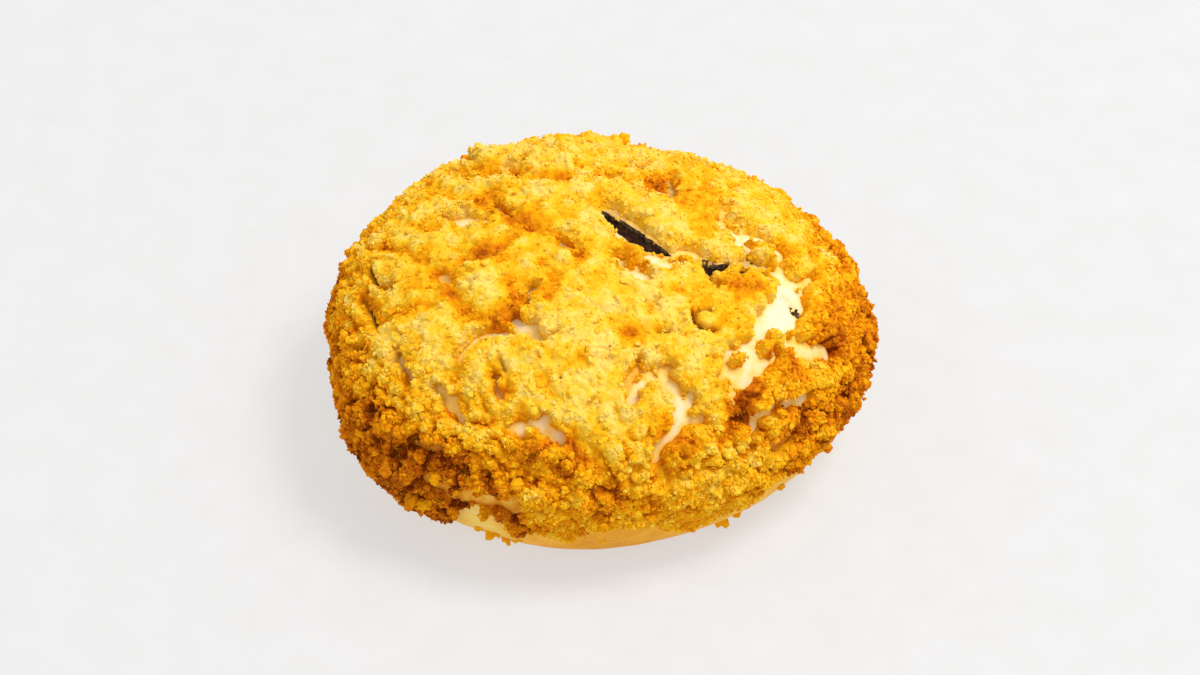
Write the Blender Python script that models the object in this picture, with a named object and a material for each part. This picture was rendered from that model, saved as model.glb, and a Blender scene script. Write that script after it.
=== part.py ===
"""A red bean bun: a soft round roll under a layer of baked crumbs, split on top so that its bean paste shows.

The origin is the middle of the flat base, +Z is up, and the side that the split runs towards is +X.
The shape is worked out from a plan outline, a dome, and the crumb layer's thickness at each point.
"""

import math
import random

import bmesh
import bpy
from mathutils import Vector, noise

MM = 0.001

# The baked roll, without its crumb layer
ROLL_RADIUS = 45.1 * MM  # mean radius of the plan where it is widest
ROLL_HEIGHT = 41.5 * MM
WIDEST_HEIGHT = 15.5 * MM
BELLY_DEPTH = 25.0 * MM  # how deep the lower curve would go if the tray did not cut it flat
DOME_FULLNESS = 2.3  # exponent of the curve above the widest height; 2 is an ellipse
BELLY_FULLNESS = 2.2
PLAN_WIDTH = 0.045  # the plan is wider along X than along Y, as a share of its radius
PLAN_THREE_SIDED = 0.028
FOOT_ROUNDING = 1.5 * MM
SWELL = 0.6 * MM  # low uneven swellings of the dough
SWELL_SPACING = 24.0 * MM
# Where the dough rose more or less: bearing in degrees, height, reach and rise in mm
BULGES = ((-147, 17, 12, 1.6), (-118, 5, 15, -1.6), (97, 33, 6, 1.4), (34, 20, 12, 0.7))
BULGE_MIDDLE = 0.93  # how far out a bulge's middle lies, as a share of the plan's radius

# The crumb layer
CRUST_THICKNESS = 2.3 * MM
THINNEST_CRUST = 0.9 * MM
CRUST_SINK = 0.9 * MM  # how far below the roll's skin its solid dips where the skin is bare
CRUST_GAP = 0.3 * MM  # kept free between the layer and the roll
PLATE_SPACING = 11.0 * MM  # the layer broke into plates as the dough rose
PLATE_RELIEF = 1.5 * MM
GROOVE_WIDTH = 0.45  # of the grooves between plates, as a share of their spacing
LUMP_SPACING = 4.2 * MM
LUMPS_ON_TOP = 0.5 * MM
LUMPS_ON_SIDES = 1.0 * MM
SIDE_HEIGHT = 24.0 * MM  # up to here the layer is as lumpy as on the sides
TOP_HEIGHT = 36.0 * MM  # and from here up as on the top
LOWER_EDGE = 12.4 * MM  # mean height of the layer's ragged lower edge
LOWER_EDGE_WANDER = 3.2 * MM
LOWER_EDGE_SPACING = 9.0 * MM
LOWER_EDGE_THINNING = 7.0 * MM  # it thins out over this height
LOWER_EDGE_THICKNESS = 0.55  # to this share of its thickness
# The lower edge along the front and the left: bearing in degrees and height in mm
FRONT_EDGE = (
    (-166, 9.0), (-156, 7.0), (-146, 6.0), (-134, 5.5), (-125, 7.0), (-121, 13.5), (-118, 16.0),
    (-111, 14.8), (-108, 10.3), (-102, 12.6), (-96, 10.2), (-89, 13.7), (-82, 13.7), (-75, 12.2),
    (-67, 8.7), (-63, 10.0), (-55, 10.6), (-50, 10.2), (-48, 13.9), (-38, 13.0),
)
FRONT_EDGE_FADE = 12.0  # degrees over which it passes into the wandering edge
EDGE_SLOPE = 1.7 * MM
EDGE_WAVES = ((0.8 * MM, 3.0 * MM), (0.7 * MM, 7.0 * MM))  # size and spacing of the waves along every edge

# Bare strips between the plates: width in mm, then bearing and slope in degrees of the points along it
BARE_STRIPS = (
    (2.0, ((4.5, 50.3), (-0.6, 50.1), (-9.2, 48.9))),
    (2.1, ((-5.7, 53.2), (-8.4, 50.8), (-11.1, 48.4))),
    (6.0, ((-10.9, 46.4), (-15.5, 45.7), (-20.6, 44.9))),
    (6.5, ((-16.3, 45.7), (-25.1, 44.4), (-34.3, 42.6), (-41.7, 42.7))),
    (4.0, ((-20.9, 43.3), (-24.8, 39.4))),
    (5.3, ((-43.1, 42.9), (-46.7, 41.1))),
    (3.1, ((-47.5, 40.8), (-50.0, 37.7))),
    (3.5, ((-26.3, 37.2), (-24.8, 33.7), (-21.5, 30.6))),
    (3.2, ((9.7, 60.7), (6.5, 59.4), (1.8, 59.1))),
    (2.2, ((7.4, 59.3), (7.7, 55.8), (6.0, 52.5))),
    (2.0, ((-7.5, 58.2), (-5.8, 56.6), (-7.0, 53.2))),
    (2.5, ((-21.7, 76.8), (-24.8, 74.1), (-22.0, 71.9))),
    (2.7, ((-52.2, 76.3), (-51.1, 72.9))),
    (3.6, ((52.4, 67.1), (47.4, 65.8))),
    (2.7, ((-67.8, 48.8), (-66.4, 45.3), (-65.1, 41.7), (-65.0, 37.6))),
    (3.4, ((-65.0, 37.6), (-66.5, 34.3))),
    (1.8, ((-66.8, 33.3), (-70.8, 30.8), (-73.3, 28.9), (-74.8, 25.1))),
    (1.6, ((-69.8, 47.6), (-74.3, 46.6), (-77.9, 44.8))),
    (2.2, ((-76.4, 46.4), (-78.1, 43.2))),
    (1.6, ((-131.2, 70.1), (-127.9, 66.0), (-126.0, 61.8))),
    (1.6, ((-127.3, 61.5), (-120.5, 60.9), (-112.5, 59.2))),
    (1.6, ((-127.4, 57.2), (-131.9, 55.1), (-134.1, 52.5), (-134.8, 49.1), (-134.1, 46.6))),
    (1.7, ((-110.2, 31.4), (-109.9, 34.1), (-106.9, 37.0), (-104.2, 37.9))),
    (1.7, ((-104.2, 37.9), (-101.1, 36.0), (-98.0, 32.8), (-97.0, 30.4))),
    (2.1, ((-135.0, 37.7), (-131.7, 37.1), (-128.7, 34.3))),
    (2.2, ((-150.0, 36.7), (-145.0, 35.9), (-139.7, 33.2))),
    (1.8, ((-31.8, 22.1), (-36.3, 24.9), (-40.6, 27.0), (-44.2, 26.9), (-47.0, 25.6))),
    (1.6, ((-47.2, 25.6), (-49.6, 23.6), (-51.2, 20.6), (-52.9, 18.3))),
    (2.4, ((162.0, 58.5), (164.2, 64.1))),
    (4.2, ((111.1, 47.5), (105.9, 50.8))),
    (2.6, ((127.8, 53.0), (124.5, 55.1))),
    (2.2, ((72.0, 58.0), (69.2, 57.0))),
)
BARE_BESIDE_SPLITS = 0.6 * MM  # how much of the skin the crumbs leave bare on each side of a split
FAR_STRIPS = 9  # more of them, spread over the rear side by rule
FAR_STRIP_BEARINGS = (32.0, 150.0)
FAR_STRIP_SLOPES = (20.0, 32.0, 26.0)  # how high they lie in turn, in degrees
FAR_STRIP_LENGTH = (7.0, 16.0)  # in degrees
FAR_STRIP_TILT = 0.8  # most that they lean, in radians
FAR_STRIP_WIDTH = (1.8 * MM, 4.4 * MM)

# Crumbs large enough to stand out of the layer
CRUMBS_ON_SIDES = 102
CRUMBS_ON_TOP = 18
SIDE_BAND = (-0.16, 0.6)  # heights on the unit sphere between which the side's crumbs are spread
TOP_BAND = (0.6, 0.98)
SIDE_CRUMB_RADIUS = (1.5 * MM, 2.8 * MM)
TOP_CRUMB_RADIUS = (1.3 * MM, 2.1 * MM)
CRUMB_ROUGHNESS = 0.18
CRUMB_SUNK = 0.45  # share of its radius by which a crumb's middle lies under the layer's top
# Crumbs on the bare skin: the point of the plan and the radius, in mm
LONE_CRUMBS = ((30.4, -18.5, 1.4), (24.3, -23.1, 0.9))
# Crumbs low on the bare foot: bearing in degrees, height and radius in mm
FOOT_CRUMBS = ((-55.0, 4.0, 1.6), (-116.0, 6.4, 1.2), (-112.5, 4.8, 1.0), (72.0, 5.0, 1.5))

# The bean paste and the split that bares it
PASTE_CENTRE = Vector((4.0, -2.0, 24.8)) * MM
PASTE_RADII = Vector((27.0, 24.5, 11.5)) * MM
PASTE_GAP = 0.3 * MM
# Points of the plan, in mm, that each split runs through
SPLIT_LINE = ((1.1, 9.0), (3.2, 6.1), (5.5, 3.3), (7.1, 1.4), (9.5, -0.9), (11.6, -2.3), (13.5, -3.2))
SPLIT_WIDTH = 3.4 * MM
SIDE_SPLIT_LINE = ((19.0, -4.2), (20.3, -5.6), (21.9, -4.9), (23.8, -3.5))
SIDE_SPLIT_WIDTH = 2.2 * MM
SPLITS = ((SPLIT_LINE, SPLIT_WIDTH), (SIDE_SPLIT_LINE, SIDE_SPLIT_WIDTH))
SPLIT_TIP = 0.08  # width of the split's ends, as a share of its width
SPLIT_FULLNESS = 0.7  # exponent of the curve from an end to the middle; less is fuller
SPLIT_STEPS = 9  # pieces that each split's line is drawn in
PASTE_BELOW_SKIN = 0.8 * MM
CUT_ABOVE_SKIN = 4.0 * MM

# Fineness of the faceted surfaces, in divisions along each side of the starting cube
ROLL_DIVISIONS = 12
CRUST_DIVISIONS = 23


def clear_scene():
    for old in list(bpy.data.objects):
        bpy.data.objects.remove(old, do_unlink=True)


def smooth_step(low, high, value):
    share = min(1.0, max(0.0, (value - low) / (high - low)))
    return share * share * (3.0 - 2.0 * share)


def plan_radius(bearing):
    """The roll's widest radius in one direction of the plan, in metres."""
    waves = PLAN_WIDTH * math.cos(2.0 * bearing) + PLAN_THREE_SIDED * math.cos(3.0 * bearing)
    return ROLL_RADIUS * (1.0 + waves)


def rounded_foot(height):
    """Flattens the curve onto the tray with a small round edge."""
    if height <= -FOOT_ROUNDING:
        return 0.0
    if height >= FOOT_ROUNDING:
        return height
    return (height + FOOT_ROUNDING) ** 2 / (4.0 * FOOT_ROUNDING)


def roll_point(direction):
    """The point of the roll's skin that a direction of the unit sphere is drawn out to."""
    bearing = math.atan2(direction.y, direction.x)
    flat = math.hypot(direction.x, direction.y)
    upper = direction.z > 0.0
    power = DOME_FULLNESS if upper else BELLY_FULLNESS
    rise = ROLL_HEIGHT - WIDEST_HEIGHT if upper else BELLY_DEPTH
    stretch = (flat**power + abs(direction.z) ** power) ** (-1.0 / power)
    radius = plan_radius(bearing) * flat * stretch
    height = WIDEST_HEIGHT + rise * direction.z * stretch
    point = Vector((radius * math.cos(bearing), radius * math.sin(bearing), height))
    swell = SWELL * noise.noise(point / SWELL_SPACING) * smooth_step(-0.9, 0.0, direction.z)
    for turn, level, reach, lift in BULGES:
        turn, level = math.radians(turn), level * MM
        middle = plan_radius(turn) * BULGE_MIDDLE
        away = point - Vector((middle * math.cos(turn), middle * math.sin(turn), level))
        swell += lift * MM * math.exp(-away.length_squared / (reach * MM) ** 2)
    point += swell * Vector((direction.x, direction.y, max(direction.z, 0.0)))
    point.z = rounded_foot(point.z)
    return point


def dome_point(x, y):
    """The point of the upper skin above a point of the plan, which is in mm."""
    bearing = math.atan2(y, x)
    out = min(0.999, math.hypot(x, y) * MM / plan_radius(bearing))
    up = (1.0 - out**DOME_FULLNESS) ** (1.0 / DOME_FULLNESS)
    return roll_point(Vector((out * math.cos(bearing), out * math.sin(bearing), up)).normalized())


def skin_point(bearing, slope):
    """The point of the skin in a direction given by its bearing and its slope, in degrees."""
    bearing, slope = math.radians(bearing), math.radians(slope)
    flat = math.cos(slope)
    return roll_point(Vector((flat * math.cos(bearing), flat * math.sin(bearing), math.sin(slope))))


def foot_point(bearing, height):
    """The point of the lower skin in one direction of the plan, at a height in metres."""
    down = (WIDEST_HEIGHT - height) / BELLY_DEPTH
    out = (1.0 - down**BELLY_FULLNESS) ** (1.0 / BELLY_FULLNESS)
    return roll_point(Vector((out * math.cos(bearing), out * math.sin(bearing), -down)).normalized())


def far_strips():
    """Bare strips over the rear side of the roll, where the front's pattern goes on."""
    draw = random.Random(7)
    first, last = FAR_STRIP_BEARINGS
    step = (last - first) / FAR_STRIPS
    strips = []
    for index in range(FAR_STRIPS):
        bearing = first + step * (index + draw.uniform(0.1, 0.9))
        slope = FAR_STRIP_SLOPES[index % len(FAR_STRIP_SLOPES)]
        tilt = draw.uniform(-FAR_STRIP_TILT, FAR_STRIP_TILT)
        half = 0.5 * draw.uniform(*FAR_STRIP_LENGTH)
        across, up = half * math.cos(tilt), half * math.sin(tilt)
        ends = [skin_point(bearing - across, slope - up), skin_point(bearing + across, slope + up)]
        strips.append((draw.uniform(*FAR_STRIP_WIDTH), ends))
    return strips


def along_split(line, share):
    """The point at a share of the way along a split's line, and the direction across it there."""
    points = [Vector(p) * MM for p in line]
    ways = [(end - start).normalized() for start, end in zip(points, points[1:])]
    ways = [ways[0], *((a + b).normalized() for a, b in zip(ways, ways[1:])), ways[-1]]
    spans = len(points) - 1
    index = min(int(share * spans), spans - 1)
    part = share * spans - index
    along = ways[index].lerp(ways[index + 1], part)
    return points[index].lerp(points[index + 1], part), Vector((-along.y, along.x)).normalized()


def half_width(width, share):
    """Half of a split's width at a share of the way along it."""
    return 0.5 * width * max(SPLIT_TIP, max(0.0, math.sin(math.pi * share)) ** SPLIT_FULLNESS)


def split_strips():
    """Bare strips along the splits, in short lengths that follow how wide each split is."""
    strips = []
    for line, width in SPLITS:
        shares = [step / SPLIT_STEPS for step in range(SPLIT_STEPS + 1)]
        skin = [dome_point(*(along_split(line, share)[0] / MM)) for share in shares]
        for share, start, end in zip(shares, skin, skin[1:]):
            half = half_width(width, share + 0.5 / SPLIT_STEPS) + BARE_BESIDE_SPLITS
            strips.append((2.0 * half, [start, end]))
    return strips


def all_strips():
    near = [(width * MM, [skin_point(*p) for p in line]) for width, line in BARE_STRIPS]
    return near + split_strips() + far_strips()


def distance_to_line(point, line):
    """From a point to the nearest stretch of a line of points."""
    nearest = math.inf
    for start, end in zip(line, line[1:]):
        along = end - start
        share = min(1.0, max(0.0, (point - start).dot(along) / along.length_squared))
        nearest = min(nearest, (point - start - share * along).length)
    return nearest


def front_edge(bearing):
    """The height of the lower edge at a bearing in degrees, between the rows of its table."""
    for (turn, height), (next_turn, next_height) in zip(FRONT_EDGE, FRONT_EDGE[1:]):
        if bearing <= next_turn:
            share = max(0.0, (bearing - turn) / (next_turn - turn))
            return (height + share * (next_height - height)) * MM
    return FRONT_EDGE[-1][1] * MM


def lower_edge(point):
    """The height of the crumb layer's lower edge in the direction of a point."""
    bearing = math.degrees(math.atan2(point.y, point.x))
    wandering = LOWER_EDGE + LOWER_EDGE_WANDER * noise.noise(point / LOWER_EDGE_SPACING)
    first, last = FRONT_EDGE[0][0], FRONT_EDGE[-1][0]
    share = smooth_step(first - FRONT_EDGE_FADE, first, bearing)
    share *= 1.0 - smooth_step(last, last + FRONT_EDGE_FADE, bearing)
    return wandering + share * (front_edge(bearing) - wandering)


def cover(point, strips):
    """1 where crumbs cover the skin, 0 where it is bare."""
    wobble = sum(size * noise.noise(point / spacing) for size, spacing in EDGE_WAVES)
    inside = point.z - lower_edge(point)
    for width, line in strips:
        inside = min(inside, distance_to_line(point, line) - width / 2.0)
    return smooth_step(-0.3 * EDGE_SLOPE, 0.7 * EDGE_SLOPE, inside + wobble)


def crust_height(point, covered):
    """How far the crumb layer's top stands off the roll's skin; below zero where the skin is bare."""
    cells = noise.voronoi(point / PLATE_SPACING)[0]
    plate = smooth_step(0.0, GROOVE_WIDTH, cells[1] - cells[0])
    top = smooth_step(SIDE_HEIGHT, TOP_HEIGHT, point.z)
    lumps = (LUMPS_ON_SIDES + (LUMPS_ON_TOP - LUMPS_ON_SIDES) * top) * noise.noise(point / LUMP_SPACING)
    thickness = CRUST_THICKNESS + PLATE_RELIEF * (plate - 0.7) + lumps
    full = smooth_step(LOWER_EDGE, LOWER_EDGE + LOWER_EDGE_THINNING, point.z)
    thickness *= LOWER_EDGE_THICKNESS + (1.0 - LOWER_EDGE_THICKNESS) * full
    return covered * (max(thickness, THINNEST_CRUST) + CRUST_SINK) - CRUST_SINK


def ball_mesh(divisions):
    """A unit ball made from a divided cube, whose faces are all about the same size."""
    ball = bmesh.new()
    bmesh.ops.create_cube(ball, size=2.0)
    bmesh.ops.subdivide_edges(ball, edges=ball.edges[:], cuts=divisions - 1, use_grid_fill=True)
    for vertex in ball.verts:
        evened = Vector([math.tan(c * math.pi / 4.0) for c in vertex.co])
        vertex.co = evened.normalized()
    return ball


def roll_shape(divisions, offset=0.0):
    """The roll's outside as a closed mesh, moved out from the skin by an offset."""
    shape = ball_mesh(divisions)
    for vertex in shape.verts:
        vertex.co = roll_point(vertex.co)
    shape.normal_update()
    bmesh.ops.recalc_face_normals(shape, faces=shape.faces[:])
    if offset:
        shape.normal_update()
        for vertex, moved in [(v, v.co + offset * v.normal) for v in shape.verts]:
            vertex.co = moved
    bmesh.ops.triangulate(shape, faces=shape.faces[:])
    return shape


def add_object(name, shape, material=None):
    mesh = bpy.data.meshes.new(name)
    shape.to_mesh(mesh)
    shape.free()
    mesh.shade_smooth()
    mesh.set_sharp_from_angle(angle=math.radians(50.0))
    made = bpy.data.objects.new(name, mesh)
    bpy.context.scene.collection.objects.link(made)
    if material:
        mesh.materials.append(material)
    return made


def apply_boolean(target, operation, other=None, group=None):
    """Joins or cuts a solid for good, then removes what it was joined with or cut by."""
    change = target.modifiers.new(operation.title(), "BOOLEAN")
    change.operation = operation
    change.solver = "EXACT"
    if group:
        change.operand_type = "COLLECTION"
        change.collection = group
    else:
        change.object = other
    evaluated = target.evaluated_get(bpy.context.evaluated_depsgraph_get())
    result = bpy.data.meshes.new_from_object(evaluated)
    target.modifiers.clear()
    target.data = result
    for used in list(group.objects) if group else [other]:
        bpy.data.objects.remove(used, do_unlink=True)
    if group:
        bpy.data.collections.remove(group)


def keep_largest(target):
    """Drops loose scraps, merges doubled points and leaves plain triangles."""
    shape = bmesh.new()
    shape.from_mesh(target.data)
    bmesh.ops.remove_doubles(shape, verts=shape.verts[:], dist=0.02 * MM)
    bmesh.ops.dissolve_degenerate(shape, edges=shape.edges[:], dist=0.02 * MM)
    unseen, islands = set(shape.verts), []
    while unseen:
        front = [unseen.pop()]
        island = set(front)
        while front:
            for edge in front.pop().link_edges:
                for vertex in edge.verts:
                    if vertex not in island:
                        island.add(vertex)
                        front.append(vertex)
        unseen -= island
        islands.append(island)
    largest = max(islands, key=len)
    bmesh.ops.delete(shape, geom=[v for v in shape.verts if v not in largest], context="VERTS")
    bmesh.ops.triangulate(shape, faces=shape.faces[:])
    shape.to_mesh(target.data)
    shape.free()


def crumb_shape(centre, radius, draw):
    """One rough crumb."""
    shape = bmesh.new()
    bmesh.ops.create_icosphere(shape, subdivisions=1, radius=1.0)
    for vertex in shape.verts:
        vertex.co *= radius * (1.0 + CRUMB_ROUGHNESS * draw.uniform(-1.0, 1.0))
    bmesh.ops.translate(shape, verts=shape.verts[:], vec=centre)
    return shape


def crumb_group(name, crumbs, draw):
    """Crumbs as separate objects in a collection, ready for one Boolean union."""
    group = bpy.data.collections.new(name)
    bpy.context.scene.collection.children.link(group)
    for index, (centre, radius) in enumerate(crumbs):
        made = add_object(f"{name}_{index}", crumb_shape(centre, radius, draw))
        bpy.context.scene.collection.objects.unlink(made)
        group.objects.link(made)
    return group


def spread_directions(count, lowest, highest, draw):
    """Directions spread evenly round the bun between two heights on the unit sphere."""
    golden = math.pi * (3.0 - math.sqrt(5.0))
    for index in range(count):
        rise = lowest + (highest - lowest) * (index + 0.5) / count
        bearing = golden * index + draw.uniform(-0.2, 0.2)
        flat = math.sqrt(1.0 - rise * rise)
        yield Vector((flat * math.cos(bearing), flat * math.sin(bearing), rise))


def crust_crumbs(strips, draw):
    """Where the larger crumbs sit on the layer, and how large they are."""
    sets = ((CRUMBS_ON_SIDES, SIDE_BAND, SIDE_CRUMB_RADIUS), (CRUMBS_ON_TOP, TOP_BAND, TOP_CRUMB_RADIUS))
    for count, band, sizes in sets:
        for direction in spread_directions(count, *band, draw):
            point = roll_point(direction)
            covered = cover(point, strips)
            radius = draw.uniform(*sizes)
            if covered > 0.7:
                stand = crust_height(point, covered) - CRUMB_SUNK * radius
                yield point + stand * direction, radius


def lens_shape(line, width, top_drop, bottom):
    """A closed upright wedge along a line of the plan, pointed at both ends, whose top follows the dome."""
    shape = bmesh.new()
    bmesh.ops.create_grid(shape, x_segments=SPLIT_STEPS, y_segments=2, size=1.0)
    for vertex in shape.verts:
        share, across = (vertex.co.x + 1.0) / 2.0, vertex.co.y
        middle, side = along_split(line, share)
        place = middle + side * (across * half_width(width, share))
        top = dome_point(*(place / MM)).z - top_drop
        vertex.co = Vector((place.x, place.y, top))
    skin = bmesh.ops.extrude_face_region(shape, geom=shape.faces[:])
    for vertex in [g for g in skin["geom"] if isinstance(g, bmesh.types.BMVert)]:
        vertex.co.z = bottom
    bmesh.ops.recalc_face_normals(shape, faces=shape.faces[:])
    bmesh.ops.triangulate(shape, faces=shape.faces[:])
    return shape


def paste_ball(offset):
    """The rounded mass of bean paste, moved out by an offset."""
    shape = bmesh.new()
    bmesh.ops.create_uvsphere(shape, u_segments=20, v_segments=10, radius=1.0)
    radii = PASTE_RADII + Vector((offset, offset, offset))
    bmesh.ops.scale(shape, verts=shape.verts[:], vec=radii)
    bmesh.ops.translate(shape, verts=shape.verts[:], vec=PASTE_CENTRE)
    bmesh.ops.triangulate(shape, faces=shape.faces[:])
    return shape


def finish(name, colour, roughness):
    """A material of one colour for one of the bun's parts."""
    made = bpy.data.materials.new(name)
    made.use_nodes = True
    shader = made.node_tree.nodes["Principled BSDF"]
    shader.inputs["Base Color"].default_value = (*colour, 1.0)
    shader.inputs["Roughness"].default_value = roughness
    shader.inputs["Metallic"].default_value = 0.0
    return made


def make_roll(draw):
    """The soft roll: hollowed for the paste, split on top, with a few crumbs stuck to its bare skin."""
    roll = add_object("roll", roll_shape(ROLL_DIVISIONS), finish("roll_skin", (0.86, 0.68, 0.37), 0.6))
    crumbs = [(dome_point(x, y), radius * MM) for x, y, radius in LONE_CRUMBS]
    for bearing, height, radius in FOOT_CRUMBS:
        crumbs.append((foot_point(math.radians(bearing), height * MM), radius * MM))
    apply_boolean(roll, "UNION", group=crumb_group("stuck_crumbs", crumbs, draw))
    apply_boolean(roll, "DIFFERENCE", add_object("paste_room", paste_ball(PASTE_GAP)))
    for line, width in SPLITS:
        wedge = lens_shape(line, width, -CUT_ABOVE_SKIN, PASTE_CENTRE.z)
        apply_boolean(roll, "DIFFERENCE", add_object("split_room", wedge))
    keep_largest(roll)


def make_paste():
    """The bean paste, pushed up into the split."""
    colour = (0.045, 0.022, 0.018)
    paste = add_object("bean_paste", paste_ball(0.0), finish("bean_paste", colour, 0.45))
    for line, width in SPLITS:
        ridge = lens_shape(line, width - 2.0 * PASTE_GAP, PASTE_BELOW_SKIN, PASTE_CENTRE.z)
        apply_boolean(paste, "UNION", add_object("ridge", ridge))
    keep_largest(paste)


def make_crust(draw):
    """The crumb layer: broken plates and crumbs, hollow inside to sit over the roll."""
    strips = all_strips()
    shape = roll_shape(CRUST_DIVISIONS)
    for vertex, normal in [(v, v.normal.copy()) for v in shape.verts]:
        vertex.co += normal * crust_height(vertex.co, cover(vertex.co, strips))
    crust = add_object("crumb_crust", shape, finish("crumb_crust", (0.85, 0.47, 0.08), 0.75))
    crumbs = list(crust_crumbs(strips, draw))
    apply_boolean(crust, "UNION", group=crumb_group("crumbs", crumbs, draw))
    apply_boolean(crust, "DIFFERENCE", add_object("roll_room", roll_shape(ROLL_DIVISIONS, CRUST_GAP)))
    keep_largest(crust)


def main():
    clear_scene()
    draw = random.Random(3)
    make_roll(draw)
    make_paste()
    make_crust(draw)


main()
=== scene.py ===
import math
import random

import bmesh
import bpy
import numpy as np
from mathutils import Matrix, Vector, kdtree, noise


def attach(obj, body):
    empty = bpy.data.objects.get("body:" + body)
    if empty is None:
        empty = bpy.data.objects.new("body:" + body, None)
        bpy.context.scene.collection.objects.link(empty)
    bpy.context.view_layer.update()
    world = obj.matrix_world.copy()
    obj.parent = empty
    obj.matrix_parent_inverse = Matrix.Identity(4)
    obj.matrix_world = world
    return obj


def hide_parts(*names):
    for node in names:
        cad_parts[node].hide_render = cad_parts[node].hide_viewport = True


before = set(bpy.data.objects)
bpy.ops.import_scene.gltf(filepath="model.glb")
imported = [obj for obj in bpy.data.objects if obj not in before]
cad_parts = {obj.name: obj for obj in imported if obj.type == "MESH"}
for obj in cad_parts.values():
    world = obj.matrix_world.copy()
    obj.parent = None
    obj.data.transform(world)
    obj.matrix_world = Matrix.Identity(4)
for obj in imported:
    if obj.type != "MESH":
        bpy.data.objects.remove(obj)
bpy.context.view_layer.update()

# The roll
# A soft round bun of sweet dough, filled with bean paste and baked on a flat tray. Its skin is pale where the
# crumb layer tore apart as the dough rose, and golden on the low foot that no crumbs cover.
MM = 0.001
ROLL_RADIUS = 45.1 * MM  # mean radius of the plan where it is widest
ROLL_HEIGHT = 41.5 * MM
WIDEST_HEIGHT = 15.5 * MM
BELLY_DEPTH = 25.0 * MM  # how deep the lower curve would go if the tray did not cut it flat
DOME_FULLNESS = 2.3  # exponent of the curve above the widest height; 2 is an ellipse
BELLY_FULLNESS = 2.2
PLAN_WIDTH = 0.045
PLAN_THREE_SIDED = 0.028
FOOT_ROUNDING = 1.5 * MM
SWELL = 0.6 * MM
SWELL_SPACING = 24.0 * MM
# Where the dough rose more or less: bearing in degrees, height, reach and rise in mm
BULGES = ((-147, 17, 12, 1.6), (-118, 5, 15, -1.6), (97, 33, 6, 1.4), (34, 20, 12, 0.7))
BULGE_MIDDLE = 0.93
ROLL_DIVISIONS = 120  # along each side of the cube that is rounded into the roll
SKIN_WRINKLES = ((0.12 * MM, 5.0 * MM), (0.07 * MM, 1.6 * MM))  # size and spacing of the skin's unevenness
PASTE_CENTRE = np.array((4.0, -2.0, 24.8)) * MM
PASTE_RADII = np.array((27.0, 24.5, 11.5)) * MM
PASTE_GAP = 0.3 * MM
# Points of the plan, in mm, that each split runs through
SPLIT_LINE = ((1.1, 9.0), (3.2, 6.1), (5.5, 3.3), (7.1, 1.4), (9.5, -0.9), (11.6, -2.3), (13.5, -3.2))
SPLIT_WIDTH = 3.4 * MM
SIDE_SPLIT_LINE = ((19.0, -4.2), (20.3, -5.6), (21.9, -4.9), (23.8, -3.5))
SIDE_SPLIT_WIDTH = 2.2 * MM
SPLITS = ((SPLIT_LINE, SPLIT_WIDTH), (SIDE_SPLIT_LINE, SIDE_SPLIT_WIDTH))
SPLIT_TIP = 0.08  # width of the split's ends, as a share of its width
SPLIT_FULLNESS = 0.7
SPLIT_RAGGED = 0.5 * MM  # how far the torn sides wander
CUT_ABOVE_SKIN = 4.0 * MM
SPLIT_STEPS = 48
CRUMBS_OVER_SPLITS = 0.3 * MM  # how far the crumb layer stands out over the sides of a split
WALL_REACH = 8.0 * MM  # steep faces this near to a split's line are its torn walls
TEAR_DEPTH = 0.7 * MM
# Small tears in the bare skin, painted dark with paste and shade: width in mm, then the bearing and slope in
# degrees of points along them
SKIN_TEARS = (
    (1.2, ((-13.3, 47.4), (-13.4, 46.1))),
    (0.7, ((-13.4, 46.1), (-13.9, 44.8), (-15.1, 43.8))),
    (1.5, ((-15.1, 43.6), (-16.1, 41.9))),
    (0.9, ((-7, 51.9), (-7.2, 50.6))),
    (0.9, ((-1.6, 57.5), (-3.6, 56.6))),
    (2.2, ((-12.2, 66.3), (-13.8, 65.3), (-16.1, 64.2))),
)


def smooth_step(low, high, values):
    share = np.clip((values - low) / (high - low), 0.0, 1.0)
    return share * share * (3.0 - 2.0 * share)


def noise_at(points, spacing):
    """Smooth unevenness between -1 and 1 at each point, with waves about one spacing long."""
    return np.array([noise.noise(p) for p in (points / spacing).tolist()])


def risen(points, low, high):
    """0 below one height in mm and 1 above another."""
    return smooth_step(low * MM, high * MM, points[:, 2])


def patch(points, centre, reach):
    """1 at a place, fading to nothing beyond a reach in mm."""
    return np.exp(-((points - centre) ** 2).sum(axis=1) / (reach * MM) ** 2)


def unit(ways):
    return ways / np.linalg.norm(ways, axis=1)[:, None]


def around(out, bearing, up):
    """Points out from the upright axis, at bearings in radians."""
    return np.column_stack((out * np.cos(bearing), out * np.sin(bearing), up))


def plan_radius(bearing):
    """The roll's widest radius in each direction of the plan."""
    return ROLL_RADIUS * (1.0 + PLAN_WIDTH * np.cos(2.0 * bearing) + PLAN_THREE_SIDED * np.cos(3.0 * bearing))


def rounded_foot(heights):
    """Flattens the curve onto the tray with a small round edge."""
    bent = (heights + FOOT_ROUNDING) ** 2 / (4.0 * FOOT_ROUNDING)
    return np.where(heights <= -FOOT_ROUNDING, 0.0, np.where(heights >= FOOT_ROUNDING, heights, bent))


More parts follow.
